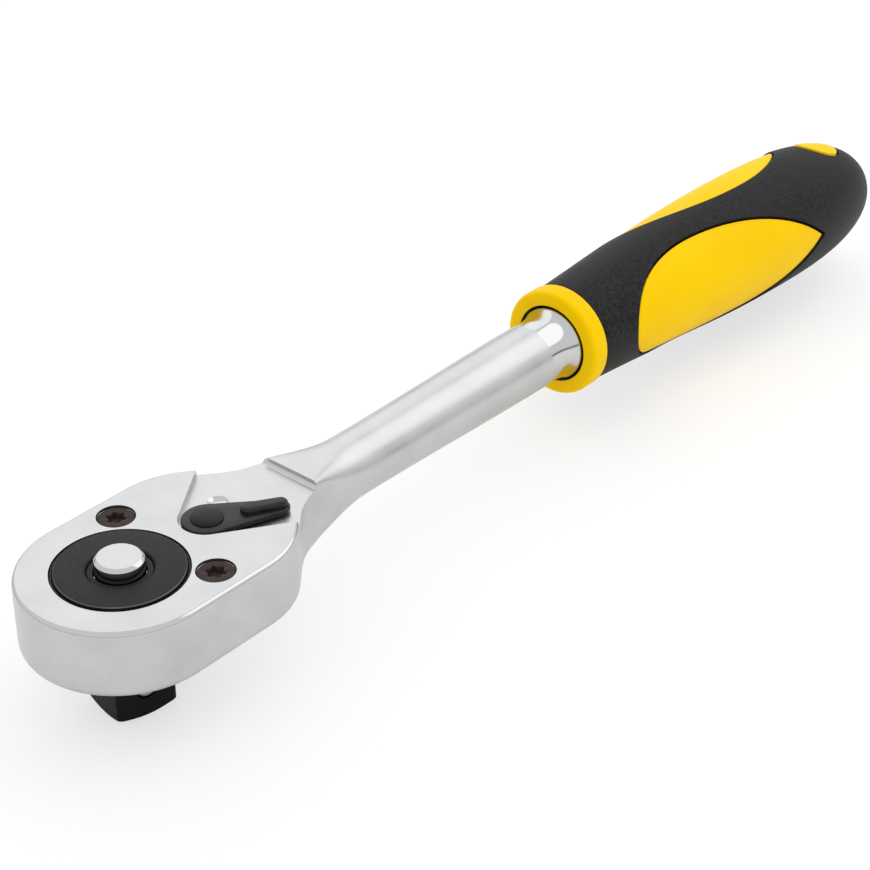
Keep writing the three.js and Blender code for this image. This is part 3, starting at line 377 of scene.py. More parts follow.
def outline(*stretches):
    """Joins lists of points, without the doubles where two arcs meet."""
    points = [point for stretch in stretches for point in stretch]
    return [p for p, q in zip(points, points[1:] + points[:1]) if math.dist(p, q) > 1e-7]


def taper(start, start_radius, end, end_radius):
    """Two circles on the X axis joined by their tangents."""
    lean = math.acos((start_radius - end_radius) / (end - start))
    return outline(
        arc(end, 0, end_radius, -lean, lean),
        arc(start, 0, start_radius, lean, 2 * math.pi - lean),
    )


def sector(inner, outer, half):
    return outline(arc(0, 0, outer, -half, half), arc(0, 0, inner, half, -half))


def skin(name, rings, front=True):
    """A skin over rings of points, with a face over its end and, unless it is left open, over its front."""
    sides = len(rings[0])
    points = [point for ring in rings for point in ring]
    faces = []
    for r in range(len(rings) - 1):
        for s in range(sides):
            a = r * sides + s
            b = r * sides + (s + 1) % sides
            faces.append((a, b, b + sides, a + sides))
    if front:
        faces.append(tuple(reversed(range(sides))))
    faces.append(tuple(range(len(points) - sides, len(points))))
    piece = new_piece(name, points, (), faces)
    edit_all(piece)
    return close_up(piece)


# Materials


def shader(name, **values):
    """A new material with constants on its shader, and its node tree."""
    material = bpy.data.materials.new(name)
    material.use_nodes = True
    tree = material.node_tree
    principled = tree.nodes["Principled BSDF"]
    for key, value in values.items():
        principled.inputs[key.replace("_", " ")].default_value = value
    return material, tree, principled


def rgba(values):
    return (*values, 1.0)


def grain(tree, scale, detail):
    """A noise texture on the piece's own coordinates, with its scale per metre."""
    coordinates = tree.nodes.new("ShaderNodeTexCoord")
    texture = tree.nodes.new("ShaderNodeTexNoise")
    texture.inputs["Scale"].default_value = scale
    texture.inputs["Detail"].default_value = detail
    tree.links.new(coordinates.outputs["Object"], texture.inputs["Vector"])
    return texture.outputs["Fac"]


def spread(tree, source, low, high, start=0.3, end=0.7):
    """Turns a texture into values between low and high."""
    node = tree.nodes.new("ShaderNodeMapRange")
    node.inputs["From Min"].default_value = start
    node.inputs["From Max"].default_value = end
    node.inputs["To Min"].default_value = low
    node.inputs["To Max"].default_value = high
    tree.links.new(source, node.inputs["Value"])
    return node.outputs["Result"]


def tint(tree, principled, source, dark, light):
    """Colours the shader between two colours by a texture."""
    node = tree.nodes.new("ShaderNodeMix")
    node.data_type = "RGBA"
    node.inputs["A"].default_value = rgba(dark)
    node.inputs["B"].default_value = rgba(light)
    tree.links.new(spread(tree, source, 0, 1), node.inputs["Factor"])
    tree.links.new(node.outputs["Result"], principled.inputs["Base Color"])


def roughen(tree, principled, source, low, high):
    tree.links.new(spread(tree, source, low, high), principled.inputs["Roughness"])


def relief(tree, principled, source, strength, depth):
    """Fine bumps of a depth in metres."""
    node = tree.nodes.new("ShaderNodeBump")
    node.inputs["Strength"].default_value = strength
    node.inputs["Distance"].default_value = depth
    tree.links.new(source, node.inputs["Height"])
    tree.links.new(node.outputs["Normal"], principled.inputs["Normal"])


def shaded(values, factor):
    return tuple(value * factor for value in values)


def satin_chrome(finishes):
    """Blasted and plated steel: even, cloudy, with a fine grain."""
    material, tree, principled = shader("Satin chrome", Metallic=1.0)
    cloud = grain(tree, 110, 5.0)
    middle = finishes.chrome_roughness
    tint(tree, principled, cloud, shaded(finishes.chrome, 0.9), shaded(finishes.chrome, 1.04))
    roughen(tree, principled, cloud, middle - 0.05, middle + 0.05)
    relief(tree, principled, grain(tree, 2600, 2.0), 0.12, 0.02 * MM)
    return material


def polished_chrome(finishes):
    base = rgba(finishes.chrome)
    material, tree, principled = shader("Polished chrome", Base_Color=base, Metallic=1.0)
    roughen(tree, principled, grain(tree, 300, 4.0), 0.07, 0.14)
    return material


def steel(name, base, low, high, metallic, sheen):
    """Plain or blackened steel with faint turning marks and an uneven sheen."""
    material, tree, principled = shader(name, Metallic=metallic, Specular_IOR_Level=sheen)
    fine = grain(tree, 1800, 3.0)
    tint(tree, principled, grain(tree, 400, 4.0), shaded(base, 0.8), base)
    roughen(tree, principled, fine, low, high)
    relief(tree, principled, fine, 0.15, 0.03 * MM)
    return material


def lever_enamel(finishes):
    coat = {"Coat_Weight": 0.15, "Coat_Roughness": 0.1}
    material, tree, principled = shader("Lever enamel", Specular_IOR_Level=0.2, **coat)
    cloud = grain(tree, 700, 5.0)
    tint(tree, principled, cloud, shaded(finishes.lever, 0.7), shaded(finishes.lever, 1.6))
    roughen(tree, principled, cloud, 0.28, 0.5)
    relief(tree, principled, grain(tree, 900, 3.0), 0.25, 0.06 * MM)
    return material


def yellow_plastic(finishes):
    """Moulded plastic with faint, deeper clouds."""
    material, tree, principled = shader("Yellow plastic", Specular_IOR_Level=0.05)
    red, green, blue = finishes.yellow
    tint(tree, principled, grain(tree, 60, 2.0), (red * 0.97, green * 0.9, blue), finishes.yellow)
    roughen(tree, principled, grain(tree, 900, 3.0), 0.36, 0.46)
    relief(tree, principled, grain(tree, 1500, 2.0), 0.06, 0.02 * MM)
    return material


def black_rubber(finishes):
    """Overmoulded rubber with a fine spark-eroded grain."""
    material, tree, principled = shader("Black rubber", Specular_IOR_Level=0.12)
    speck = grain(tree, 1500, 3.0)
    tint(tree, principled, speck, shaded(finishes.rubber, 0.1), shaded(finishes.rubber, 2.4))
    roughen(tree, principled, speck, 0.4, 0.62)
    relief(tree, principled, speck, 0.8, 0.12 * MM)
    return material


def seal_rubber(finishes):
    material, tree, principled = shader("Seal rubber", Base_Color=rgba(finishes.seal))
    roughen(tree, principled, grain(tree, 900, 2.0), 0.55, 0.75)
    return material


# Colour setting, its share, least and most roughness, metal and sheen of each steel
STEELS = {
    "plain_steel": ("steel", 1.0, 0.25, 0.36, 1.0, 0.5),
    "spring_steel": ("steel", 0.85, 0.2, 0.32, 1.0, 0.5),
    # Painted highlight: brighter metal for the disc's rounded rim
    "rim_highlight_steel": ("steel", 0.25, 0.3, 0.45, 1.0, 0.5),
    "dark_steel": ("disc", 1.0, 0.42, 0.55, 0.0, 0.2),
    # Painted shade: a darker copy of the disc's black for the anvil under the head
    "shaded_anvil_steel": ("disc", 0.3, 0.35, 0.5, 0.0, 0.1),
    "browned_screws": ("screw", 1.0, 0.4, 0.55, 0.0, 0.12),
}
OTHER_FINISHES = {
    "satin_chrome": satin_chrome,
    "polished_chrome": polished_chrome,
    "black_enamel": lever_enamel,
    "yellow_plastic": yellow_plastic,
    "black_rubber": black_rubber,
    "seal_rubber": seal_rubber,
}


def finish_for(slot):
    """The finish of a slot, made once; the packed solids bring plain ones of the bare names."""
    name = "dressed_" + slot
    made = bpy.data.materials.get(name)
    if made:
        return made
    finishes = bpy.context.scene.ratchet_finishes
    if slot in STEELS:
        colour_name, factor, *values = STEELS[slot]
        material = steel(slot, shaded(getattr(finishes, colour_name), factor), *values)
    else:
        material = OTHER_FINISHES[slot](finishes)
    material.name = name
    return material


def dress(piece, body, slot, node):
    """Paints a finished piece, ties it to its body and hides the node that it stands for."""
    piece.data.materials.clear()
    piece.data.materials.append(finish_for(slot))
    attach(piece, body)
    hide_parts(node)


def paint(piece, slot, chosen):
    """Gives the chosen faces of a dressed piece another finish."""
    index = len(piece.data.materials)
    piece.data.materials.append(finish_for(slot))
    for face in piece.data.polygons:
        if chosen(face):
            face.material_index = index


# Head, neck and shank

FLAT_STEPS = 4
CORNER_STEPS = 8
SIDE_STEPS = 3
SHOULDER_STEPS = 12
FILLET_STEPS = 18
SHANK_STEPS = 12
FLARE_STEPS = 16
FLARE_POWER = 4  # how late the polished flare opens


def smoothstep(value, start, end):
    ratio = min(1.0, max(0.0, (value - start) / (end - start)))
    return ratio * ratio * (3 - 2 * ratio)


def mix(a, b, ratio):
    return a + (b - a) * ratio


def quarter(half_width, half_height, corner):
    """A quarter of a rounded rectangle, from the middle of its top to the middle of its side."""
    flat = half_width - corner
    rise = half_height - corner
    points = [(flat * i / FLAT_STEPS, half_height) for i in range(FLAT_STEPS)]
    for i in range(CORNER_STEPS + 1):
        turn = math.pi / 2 * i / CORNER_STEPS
        points.append((flat + corner * math.sin(turn), rise + corner * math.cos(turn)))
    points += [(half_width, rise * (1 - i / SIDE_STEPS)) for i in range(1, SIDE_STEPS + 1)]
    return points


def round_quarter(radius):
    count = FLAT_STEPS + CORNER_STEPS + SIDE_STEPS
    turns = [math.pi / 2 * i / count for i in range(count + 1)]
    return [(radius * math.sin(turn), radius * math.cos(turn)) for turn in turns]


def half_ring(x, width, height, top_edge, low_edge, radius, blend):
    """Right half of a section across the shank, from its top to its bottom, between square and round."""
    circle = round_quarter(radius)
    halves = []
    for sign, edge in ((1, top_edge), (-1, low_edge)):
        square = quarter(width, height, mix(edge, height / 2, blend))
        ring = [(mix(a, c, blend), mix(b, d, blend)) for (a, b), (c, d) in zip(square, circle)]
        halves.append([Vector((x, across, SHANK_AXIS + sign * up)) for across, up in ring])
    return halves[0] + halves[1][-2::-1]


def whole_ring(half):
    mirrored = [Vector((point.x, -point.y, point.z)) for point in half[-2:0:-1]]
    return half + mirrored


def tang_ring(x, half):
    return half_ring(x, half, half, TANG_EDGE, TANG_EDGE, half, 0.0)


def flank_points(sizes):
    """Where the head's flank starts and where its fillet ends on the neck."""
    low = NOSE_RADIUS - sizes.shoulder
    start_x = sizes.side + sizes.shoulder * math.sin(sizes.flank)
    start_y = low + sizes.shoulder * math.cos(sizes.flank)
    fillet_y = sizes.neck + sizes.fillet
    drop = start_y - fillet_y + sizes.fillet * math.cos(sizes.flank)
    neck_x = start_x + drop / math.tan(sizes.flank) + sizes.fillet * math.sin(sizes.flank)
    return start_x, start_y, neck_x


def plan_stations(sizes):
    """Pairs of place along the head and its half width there."""
    neck_x = flank_points(sizes)[2]
    low = NOSE_RADIUS - sizes.shoulder
    high = sizes.neck + sizes.fillet
    stations = [(0.0, NOSE_RADIUS), (sizes.side / 2, NOSE_RADIUS)]
    for i in range(SHOULDER_STEPS + 1):
        turn = sizes.flank * i / SHOULDER_STEPS
        x = sizes.side + sizes.shoulder * math.sin(turn)
        stations.append((x, low + sizes.shoulder * math.cos(turn)))
    for i in range(FILLET_STEPS + 1):
        turn = sizes.flank * (1 - i / FILLET_STEPS)
        x = neck_x - sizes.fillet * math.sin(turn)
        stations.append((x, high - sizes.fillet * math.cos(turn)))
    return stations


def shank_radius(sizes, x):
    ratio = smoothstep(x, sizes.blend_end, HANDLE_START - sizes.bolster_length)
    return mix(sizes.shank_front, sizes.shank_rear, ratio)


def forging_rings(sizes):
    """Half sections from the drive axis to the end of the tang."""
    height = HEAD_TOP - SHANK_AXIS
    rings = []

    def add(x, width, radius, blend):
        rings.append(half_ring(x, width, height, sizes.edge, sizes.base_edge, radius, blend))

    stations = plan_stations(sizes)
    neck_x = stations[-1][0]
    shares = [i / SHANK_STEPS for i in range(1, SHANK_STEPS + 1)]
    stations += [(mix(neck_x, sizes.blend_end, ratio), sizes.neck) for ratio in shares]
    for x, width in stations:
        add(x, width, shank_radius(sizes, x), smoothstep(x, sizes.blend_start, sizes.blend_end))
    flare = HANDLE_START - sizes.bolster_length
    for ratio in shares:
        x = mix(sizes.blend_end, flare, ratio)
        add(x, sizes.neck, shank_radius(sizes, x), 1.0)
    step = 0.12 * MM
    step_depth = 0.15 * MM
    for i in range(FLARE_STEPS + 1):
        ratio = i / FLARE_STEPS
        radius = mix(sizes.shank_rear - step_depth, sizes.bolster, ratio**FLARE_POWER)
        add(mix(flare + step, COLLAR_START, ratio), sizes.neck, radius, 1.0)
    bolster_end = HANDLE_START + 1.5 * MM
    add(bolster_end, sizes.neck, sizes.bolster, 1.0)
    for x in (bolster_end, TANG_END):
        rings.append(tang_ring(x, TANG))
    return rings


def plate_outline(sizes, grow):
    """The cover plate follows the head's outline and closes with a round end."""
    inset = 2.2 * MM - grow
    start_x, start_y, _ = flank_points(sizes)
    low = NOSE_RADIUS - sizes.shoulder
    end_x = 27 * MM
    end_radius = (start_x - end_x) * math.sin(sizes.flank) + start_y * math.cos(sizes.flank) - inset
    turn = math.pi / 2 - sizes.flank
    shoulder = sizes.shoulder - inset
    return outline(
        arc(end_x, 0, end_radius, -turn, turn),
        arc(sizes.side, low, shoulder, turn, math.pi / 2),
        arc(0, 0, NOSE_RADIUS - inset, math.pi / 2, 3 * math.pi / 2),
        arc(sizes.side, -low, shoulder, -math.pi / 2, -turn),
    )


def pocket_cutter(sizes):
    """Flat for the lever; the mill's radius is left where the flat ends on the neck."""
    side = math.pi / 2 + sizes.pocket_angle
    start = arc(SPINDLE_X, 0, sizes.pocket_radius, side, 2 * math.pi - side)
    spread_y = start[0][1] + (sizes.pocket_end - start[0][0]) * math.tan(sizes.pocket_angle)
    corners = [(sizes.pocket_end, -spread_y), (sizes.pocket_end, spread_y)]
    floor = HEAD_TOP - sizes.pocket_depth
    tool = prism("pocket", outline(start, corners), floor, HEAD_TOP + PAST)
    edges = tool.data.edges
    places = tool.data.vertices
    select_only(tool)
    bpy.ops.object.mode_set(mode="EDIT")
    bpy.ops.mesh.select_mode(type="EDGE")
    bpy.ops.mesh.select_all(action="DESELECT")
    bpy.ops.object.mode_set(mode="OBJECT")
    for edge in edges:
        ends = [places[i].co for i in edge.vertices]
        edge.select = all(end.x > sizes.pocket_end - WELD and end.z < floor + WELD for end in ends)
    bpy.ops.object.mode_set(mode="EDIT")
    bpy.ops.mesh.bevel(offset=sizes.pocket_runout, segments=6, affect="EDGES")
    return close_up(tool)


def screw_hole(sign):
    hole = 1.8 * MM
    rim = SCREW_RADIUS + ROOM
    rim_bottom = SCREW_TOP - SCREW_RIM
    tool = spun(
        "screw_hole",
        [
            (0, HEAD_BOTTOM - PAST),
            (hole, HEAD_BOTTOM - PAST),
            (hole, rim_bottom - rim + hole),
            (rim, rim_bottom),
            (rim, HEAD_TOP + PAST),
            (0, HEAD_TOP + PAST),
        ],
    )
    return turn_piece(tool, Matrix.Translation((SCREW_PLACE.x, sign * SCREW_PLACE.y, 0)))


def dimple(sizes, turn):
    radius = (sizes.dimple**2 + sizes.dimple_depth**2) / (2 * sizes.dimple_depth)
    centre = HEAD_TOP - sizes.pocket_depth - sizes.dimple_depth + radius
    half = [(radius * math.cos(t), centre + radius * math.sin(t)) for t in arc_turns(-90, 90, 48)]
    half[0] = (0, half[0][1])
    half[-1] = (0, half[-1][1])
    place = (SPINDLE_X + sizes.dimple_reach * math.cos(turn), sizes.dimple_reach * math.sin(turn), 0)
    return turn_piece(spun("dimple", half), Matrix.Translation(place))


def arc_turns(start, end, steps):
    """Even angles between two that are given in degrees."""
    return [math.radians(mix(start, end, i / steps)) for i in range(steps + 1)]


def rounding(radius, height, edge, start, end, steps=6):
    """Rounded corner of a spun profile, about (radius, height)."""
    return [
        (radius + edge * math.cos(turn), height + edge * math.sin(turn))
        for turn in arc_turns(start, end, steps)
    ]


class RATCHET_OT_forging(bpy.types.Operator):
    """Models the head, neck, shank and tang as one forging"""

    bl_idname = "ratchet.forging"
    bl_label = "Forging"

    def execute(self, context):
        sizes = context.scene.ratchet_head
        lever = context.scene.ratchet_lever
        rings = forging_rings(sizes)
        piece = skin("forged_body", [whole_ring(ring) for ring in rings], front=False)
        nose = new_piece("nose", rings[0], [(i, i + 1) for i in range(len(rings[0]) - 1)])
        edit_all(nose)
        bpy.ops.mesh.spin(steps=96, angle=-math.pi, center=(0, 0, 0), axis=(0, 0, 1))
        bpy.ops.object.mode_set(mode="OBJECT")
        select_only(piece)
        nose.select_set(True)
        bpy.ops.object.join()
        edit_all(piece)
        close_up(piece)
        cavity = GEAR_RADIUS + 0.4 * MM
        pawl_room = sector(MM, 19.4 * MM, math.radians(42))
        hub_room = 5.6 * MM
        cut(
            piece,
            prism("plate_seat", plate_outline(sizes, FIT), HEAD_BOTTOM - PAST, CAVITY_FLOOR + FIT),
            cylinder("cavity", cavity, HEAD_BOTTOM, CAVITY_ROOF, steps=ROUND_STEPS),
            prism("pawl_room", pawl_room, HEAD_BOTTOM, CAVITY_ROOF),
            cylinder("hub_room", hub_room, HEAD_BOTTOM, CAVITY_ROOF, SPINDLE_X),
            cylinder("disc_hole", sizes.disc_hole, HEAD_BOTTOM, HEAD_TOP + PAST, steps=ROUND_STEPS),
            pocket_cutter(sizes),
            cylinder("spindle_hole", lever.spindle_neck + ROOM, HEAD_BOTTOM, HEAD_TOP, SPINDLE_X),
            screw_hole(1),
            screw_hole(-1),
            dimple(sizes, lever.swing),
            dimple(sizes, -lever.swing),
        )
        soften(piece, sizes.cut_edge)
        edit_all(piece)
        smooth(close_up(piece))
        dress(piece, "head", "satin_chrome", "body_forging")
        self.polish(piece, sizes)
        return {"FINISHED"}

    def polish(self, piece, sizes):
        """The rounded top edge, the dimples and the bolster are polished."""
        flare = HANDLE_START - sizes.bolster_length
        near = 0.05 * MM
        flat = HEAD_TOP - sizes.pocket_depth

        def polished(face):
            place = face.center
            rounded = 0.12 < face.normal.z < 0.97 and place.z > HEAD_TOP - sizes.edge - near
            on_head = place.x < sizes.pocket_end
            reach = math.hypot(place.x - SPINDLE_X, place.y)
            hollow = flat - sizes.dimple_depth - near < place.z < flat - near
            beside_lever = abs(reach - sizes.dimple_reach) < sizes.dimple and place.x > SPINDLE_X
            return (rounded and on_head) or (hollow and beside_lever) or place.x > flare + near

        paint(piece, "polished_chrome", polished)


class RATCHET_OT_cover(bpy.types.Operator):
    """Models the plate under the head and its two six-lobe screws"""

    bl_idname = "ratchet.cover"
    bl_label = "Cover and screws"

    def execute(self, context):
        sizes = context.scene.ratchet_head
        lever = context.scene.ratchet_lever
        plate = prism("closing_plate", plate_outline(sizes, 0), HEAD_BOTTOM, CAVITY_FLOOR)
        low = HEAD_BOTTOM - PAST
        cut(plate, cylinder("journal", lever.base_journal + ROOM, low, HEAD_TOP, steps=ROUND_STEPS))
        for y in (SCREW_PLACE.y, -SCREW_PLACE.y):
            cut(plate, cylinder("thread", SCREW_SHAFT + FIT, low, HEAD_TOP, SCREW_PLACE.x, y))
        smooth(soften(plate, 0.3 * MM, 3))
        dress(plate, "head", "plain_steel", "cover_plate")
        for sign, side in ((1, "left"), (-1, "right")):
            screw = self.screw("lobed_screw_" + side)
            turn_piece(screw, Matrix.Translation((SCREW_PLACE.x, sign * SCREW_PLACE.y, 0)))
            dress(screw, "head", "browned_screws", "cover_screw_" + side)
        return {"FINISHED"}

    def screw(self, name):
        edge = 0.15 * MM
        cone = SCREW_RADIUS - edge
        rim_bottom = SCREW_TOP - SCREW_RIM
        blank = spun(
            name,
            [
                (0, SCREW_BOTTOM),
                (SCREW_SHAFT, SCREW_BOTTOM),
                (SCREW_SHAFT, rim_bottom - cone + SCREW_SHAFT),
                (cone, rim_bottom),
                *rounding(cone, SCREW_TOP - edge, edge, 0, 90),
                (0, SCREW_TOP),
            ],
        )
        lobes = []
        points = 72
        recess = 1.2 * MM
        for i in range(points):
            turn = 2 * math.pi * i / points
            radius = (1.72 + 0.3 * math.cos(6 * turn)) * MM
            lobes.append((radius * math.cos(turn), radius * math.sin(turn)))
        cut(blank, prism("recess", lobes, SCREW_TOP - recess, SCREW_TOP + PAST))
        return smooth(soften(blank, 0.08 * MM))


# Drive


def gear_teeth():
    """Pointed teeth with narrow flat tips."""
    pitch = 2 * math.pi / GEAR_TEETH
    tip = GEAR_RADIUS
    root = tip - TOOTH_DEPTH
    points = []
    for tooth in range(GEAR_TEETH):
        for radius, part in ((tip, -0.07), (tip, 0.07), (root, 0.5)):
            turn = (tooth + part) * pitch
            points.append((radius * math.cos(turn), radius * math.sin(turn)))
    return points


def anvil(sizes):
    """The square with its end turned to a cone."""
    half = sizes.square / 2 - sizes.square_corner
    corners = []
    for i, (x, y) in enumerate(((half, half), (-half, half), (-half, -half), (half, -half))):
        corners.append(arc(x, y, sizes.square_corner, i * math.pi / 2, (i + 1) * math.pi / 2))
    square = prism("anvil", outline(*corners), 0, CAVITY_FLOOR)
    turn_piece(square, Matrix.Rotation(sizes.square_turn, 4, "Z"))
    tip = 6 * MM
    wide = sizes.square
    end = spun(
        "turned_end",
        [(0, 0), (tip, 0), (wide, 2.6 * MM), (wide, HEAD_TOP), (0, HEAD_TOP)],
        ROUND_STEPS,
    )
    return soften(boolean(square, "INTERSECT", end), 0.35 * MM, 3)


def ball_bore(sizes):
    """Bore for the ball, with a narrower lip at the flat."""
    flat = sizes.square / 2
    radius = BALL_RADIUS + FIT
    lip = 2.25 * MM
    lip_start = flat - 0.3 * MM
    end = flat + PAST
    tool = spun(
        "ball_bore",
        [(0, 0), (radius, 0), (radius, lip_start), (lip, lip_start), (lip, end), (0, end)],
    )
    turn_piece(tool, Matrix.Rotation(math.pi / 2, 4, "Y"))
    turn_piece(tool, Matrix.Rotation(sizes.square_turn - math.pi / 2, 4, "Z"))
    return turn_piece(tool, Matrix.Translation((0, 0, BALL_CENTRE.z)))


class RATCHET_OT_drive(bpy.types.Operator):
    """Models the disc, gear and anvil as one piece, with its rings and socket ball"""

    bl_idname = "ratchet.drive"
    bl_label = "Drive"

    def execute(self, context):
        sizes = context.scene.ratchet_lever
        self.gear(sizes)
        seal = (sizes.disc + FIT, SEAL_RADIUS, SEAL_BOTTOM, SEAL_TOP)
        dress(self.ring("disc_seal", *seal, 0.1 * MM), "head", "seal_rubber", "gear_seal_ring")
        clip = (sizes.button + ROOM, CLIP_RADIUS, CLIP_BOTTOM, CLIP_TOP)
        dress(self.ring("button_clip", *clip, 0.12 * MM), "drive", "dark_steel", "button_retaining_ring")
        bpy.ops.object.select_all(action="DESELECT")
        bpy.ops.mesh.primitive_uv_sphere_add(segments=48, ring_count=24, radius=BALL_RADIUS)
        ball = context.active_object
        ball.name = "catch_ball"
        turn_piece(ball, Matrix.Translation(BALL_CENTRE))
        smooth(ball)
        dress(ball, "socket_catch", "plain_steel", "socket_ball")
        return {"FINISHED"}

    def gear(self, sizes):
        low = HEAD_BOTTOM - MM
        low_edge = 0.5 * MM
        disc_edge = 0.35 * MM
        middle = (GEAR_BOTTOM + GEAR_TOP) / 2
        journal_top = SEAL_BOTTOM - FIT
        piece = spun(
            "drive_piece",
            [
                (0, low),
                *rounding(sizes.base_journal - low_edge, low + low_edge, low_edge, -90, 0),
                (sizes.base_journal, middle),
                (sizes.top_journal, middle),
                (sizes.top_journal, journal_top),
                (sizes.disc, journal_top),
                *rounding(sizes.disc - disc_edge, DISC_TOP - disc_edge, disc_edge, 0, 90),
                (0, DISC_TOP),
            ],
            ROUND_STEPS,
        )
        join(piece, prism("teeth", gear_teeth(), GEAR_BOTTOM, GEAR_TOP), anvil(sizes))
        cut(piece, self.bore(), ball_bore(sizes))
        smooth(piece)
        dress(piece, "drive", "dark_steel", "drive_gear")
        # Painted highlight: the rounded rim of the disc takes brighter metal, a thin light line
        rim_bottom = DISC_TOP - 0.3 * MM
        rim_inside = CLIP_RADIUS + MM

        def on_rim_highlight(face):
            on_rim = face.center.z > rim_bottom and face.center.xy.length > rim_inside
            return on_rim and 0.3 < face.normal.z < 0.9

        # Painted shade: the anvil below the head takes a darker copy of the disc's black
        paint(piece, "shaded_anvil_steel", lambda face: face.center.z < HEAD_BOTTOM)
        paint(piece, "rim_highlight_steel", on_rim_highlight)

    def bore(self):
        """Stepped bore for the pin, the spring, the button's flange and its ring."""
        pin = PIN_RADIUS + ROOM
        bottom = PIN_BOTTOM - BUTTON_TRAVEL - 0.4 * MM
        wide = FLANGE_RADIUS + ROOM
        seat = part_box("release_spring")[0].z - FIT
        ledge = CLIP_BOTTOM - FIT
        mouth = CLIP_RADIUS + FIT
        bevel = 0.3 * MM
        return spun(
            "bore",
            [
                (0, bottom),
                (pin, bottom),
                (pin, seat),
                (wide, seat),
                (wide, ledge),
                (mouth, ledge),
                (mouth, DISC_TOP - bevel),
                (mouth + bevel, DISC_TOP),
                (mouth + bevel, DISC_TOP + PAST),
                (0, DISC_TOP + PAST),
            ],
            ROUND_STEPS,
        )

    def ring(self, name, inner, outer, bottom, top, edge):
        profile = [
            *rounding(outer - edge, top - edge, edge, 0, 90, 3),
            *rounding(inner + edge, top - edge, edge, 90, 180, 3),
            *rounding(inner + edge, bottom + edge, edge, 180, 270, 3),
            *rounding(outer - edge, bottom + edge, edge, 270, 360, 3),
        ]
        return smooth(spun(name, [*profile, profile[0]], ROUND_STEPS), 50)


class RATCHET_OT_button(bpy.types.Operator):
    """Models the release button with its flange, and takes its spring over"""

    bl_idname = "ratchet.button"
    bl_label = "Release button"

    def execute(self, context):
        radius = context.scene.ratchet_lever.button
        socket = PIN_RADIUS + FIT
        socket_top = PIN_TOP + FIT
        flange_top = CLIP_BOTTOM - ROOM
        flange_edge = 0.15 * MM
        flange = FLANGE_RADIUS - flange_edge
        bevel = 0.7 * MM
        side_edge = 0.2 * MM
        top_edge = 0.25 * MM
        piece = spun(
            "chromed_button",
            [
                (0, socket_top),
                (socket, socket_top),
                (socket, BUTTON_BOTTOM),
                *rounding(flange, BUTTON_BOTTOM + flange_edge, flange_edge, -90, 0, 3),
                *rounding(flange, flange_top - flange_edge, flange_edge, 0, 90, 3),
                (radius, flange_top),
                *rounding(radius - side_edge, BUTTON_TOP - bevel, side_edge, 0, 45, 4),
                *rounding(radius - bevel, BUTTON_TOP - top_edge, top_edge, 45, 90, 4),
                (radius * 0.55, BUTTON_TOP - 0.02 * MM),
                (0, BUTTON_TOP - 0.05 * MM),
            ],
            ROUND_STEPS,
        )
        smooth(piece)
        dress(piece, "release", "polished_chrome", "release_button")
        top = BUTTON_TOP - 0.1 * MM
        paint(piece, "satin_chrome", lambda face: face.normal.z > 0.95 and face.center.z > top)
        self.spring(context)
        return {"FINISHED"}

    def spring(self, context):
        """Copies the spring under the button from its packed solid and gives it its finish."""
        node = frame["nodes"]["release_spring"]
        piece = bpy.data.objects.new("release_coil", node.data.copy())
        context.scene.collection.objects.link(piece)
        dress(piece, "drive", "spring_steel", "release_spring")
        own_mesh(piece)


# Lever


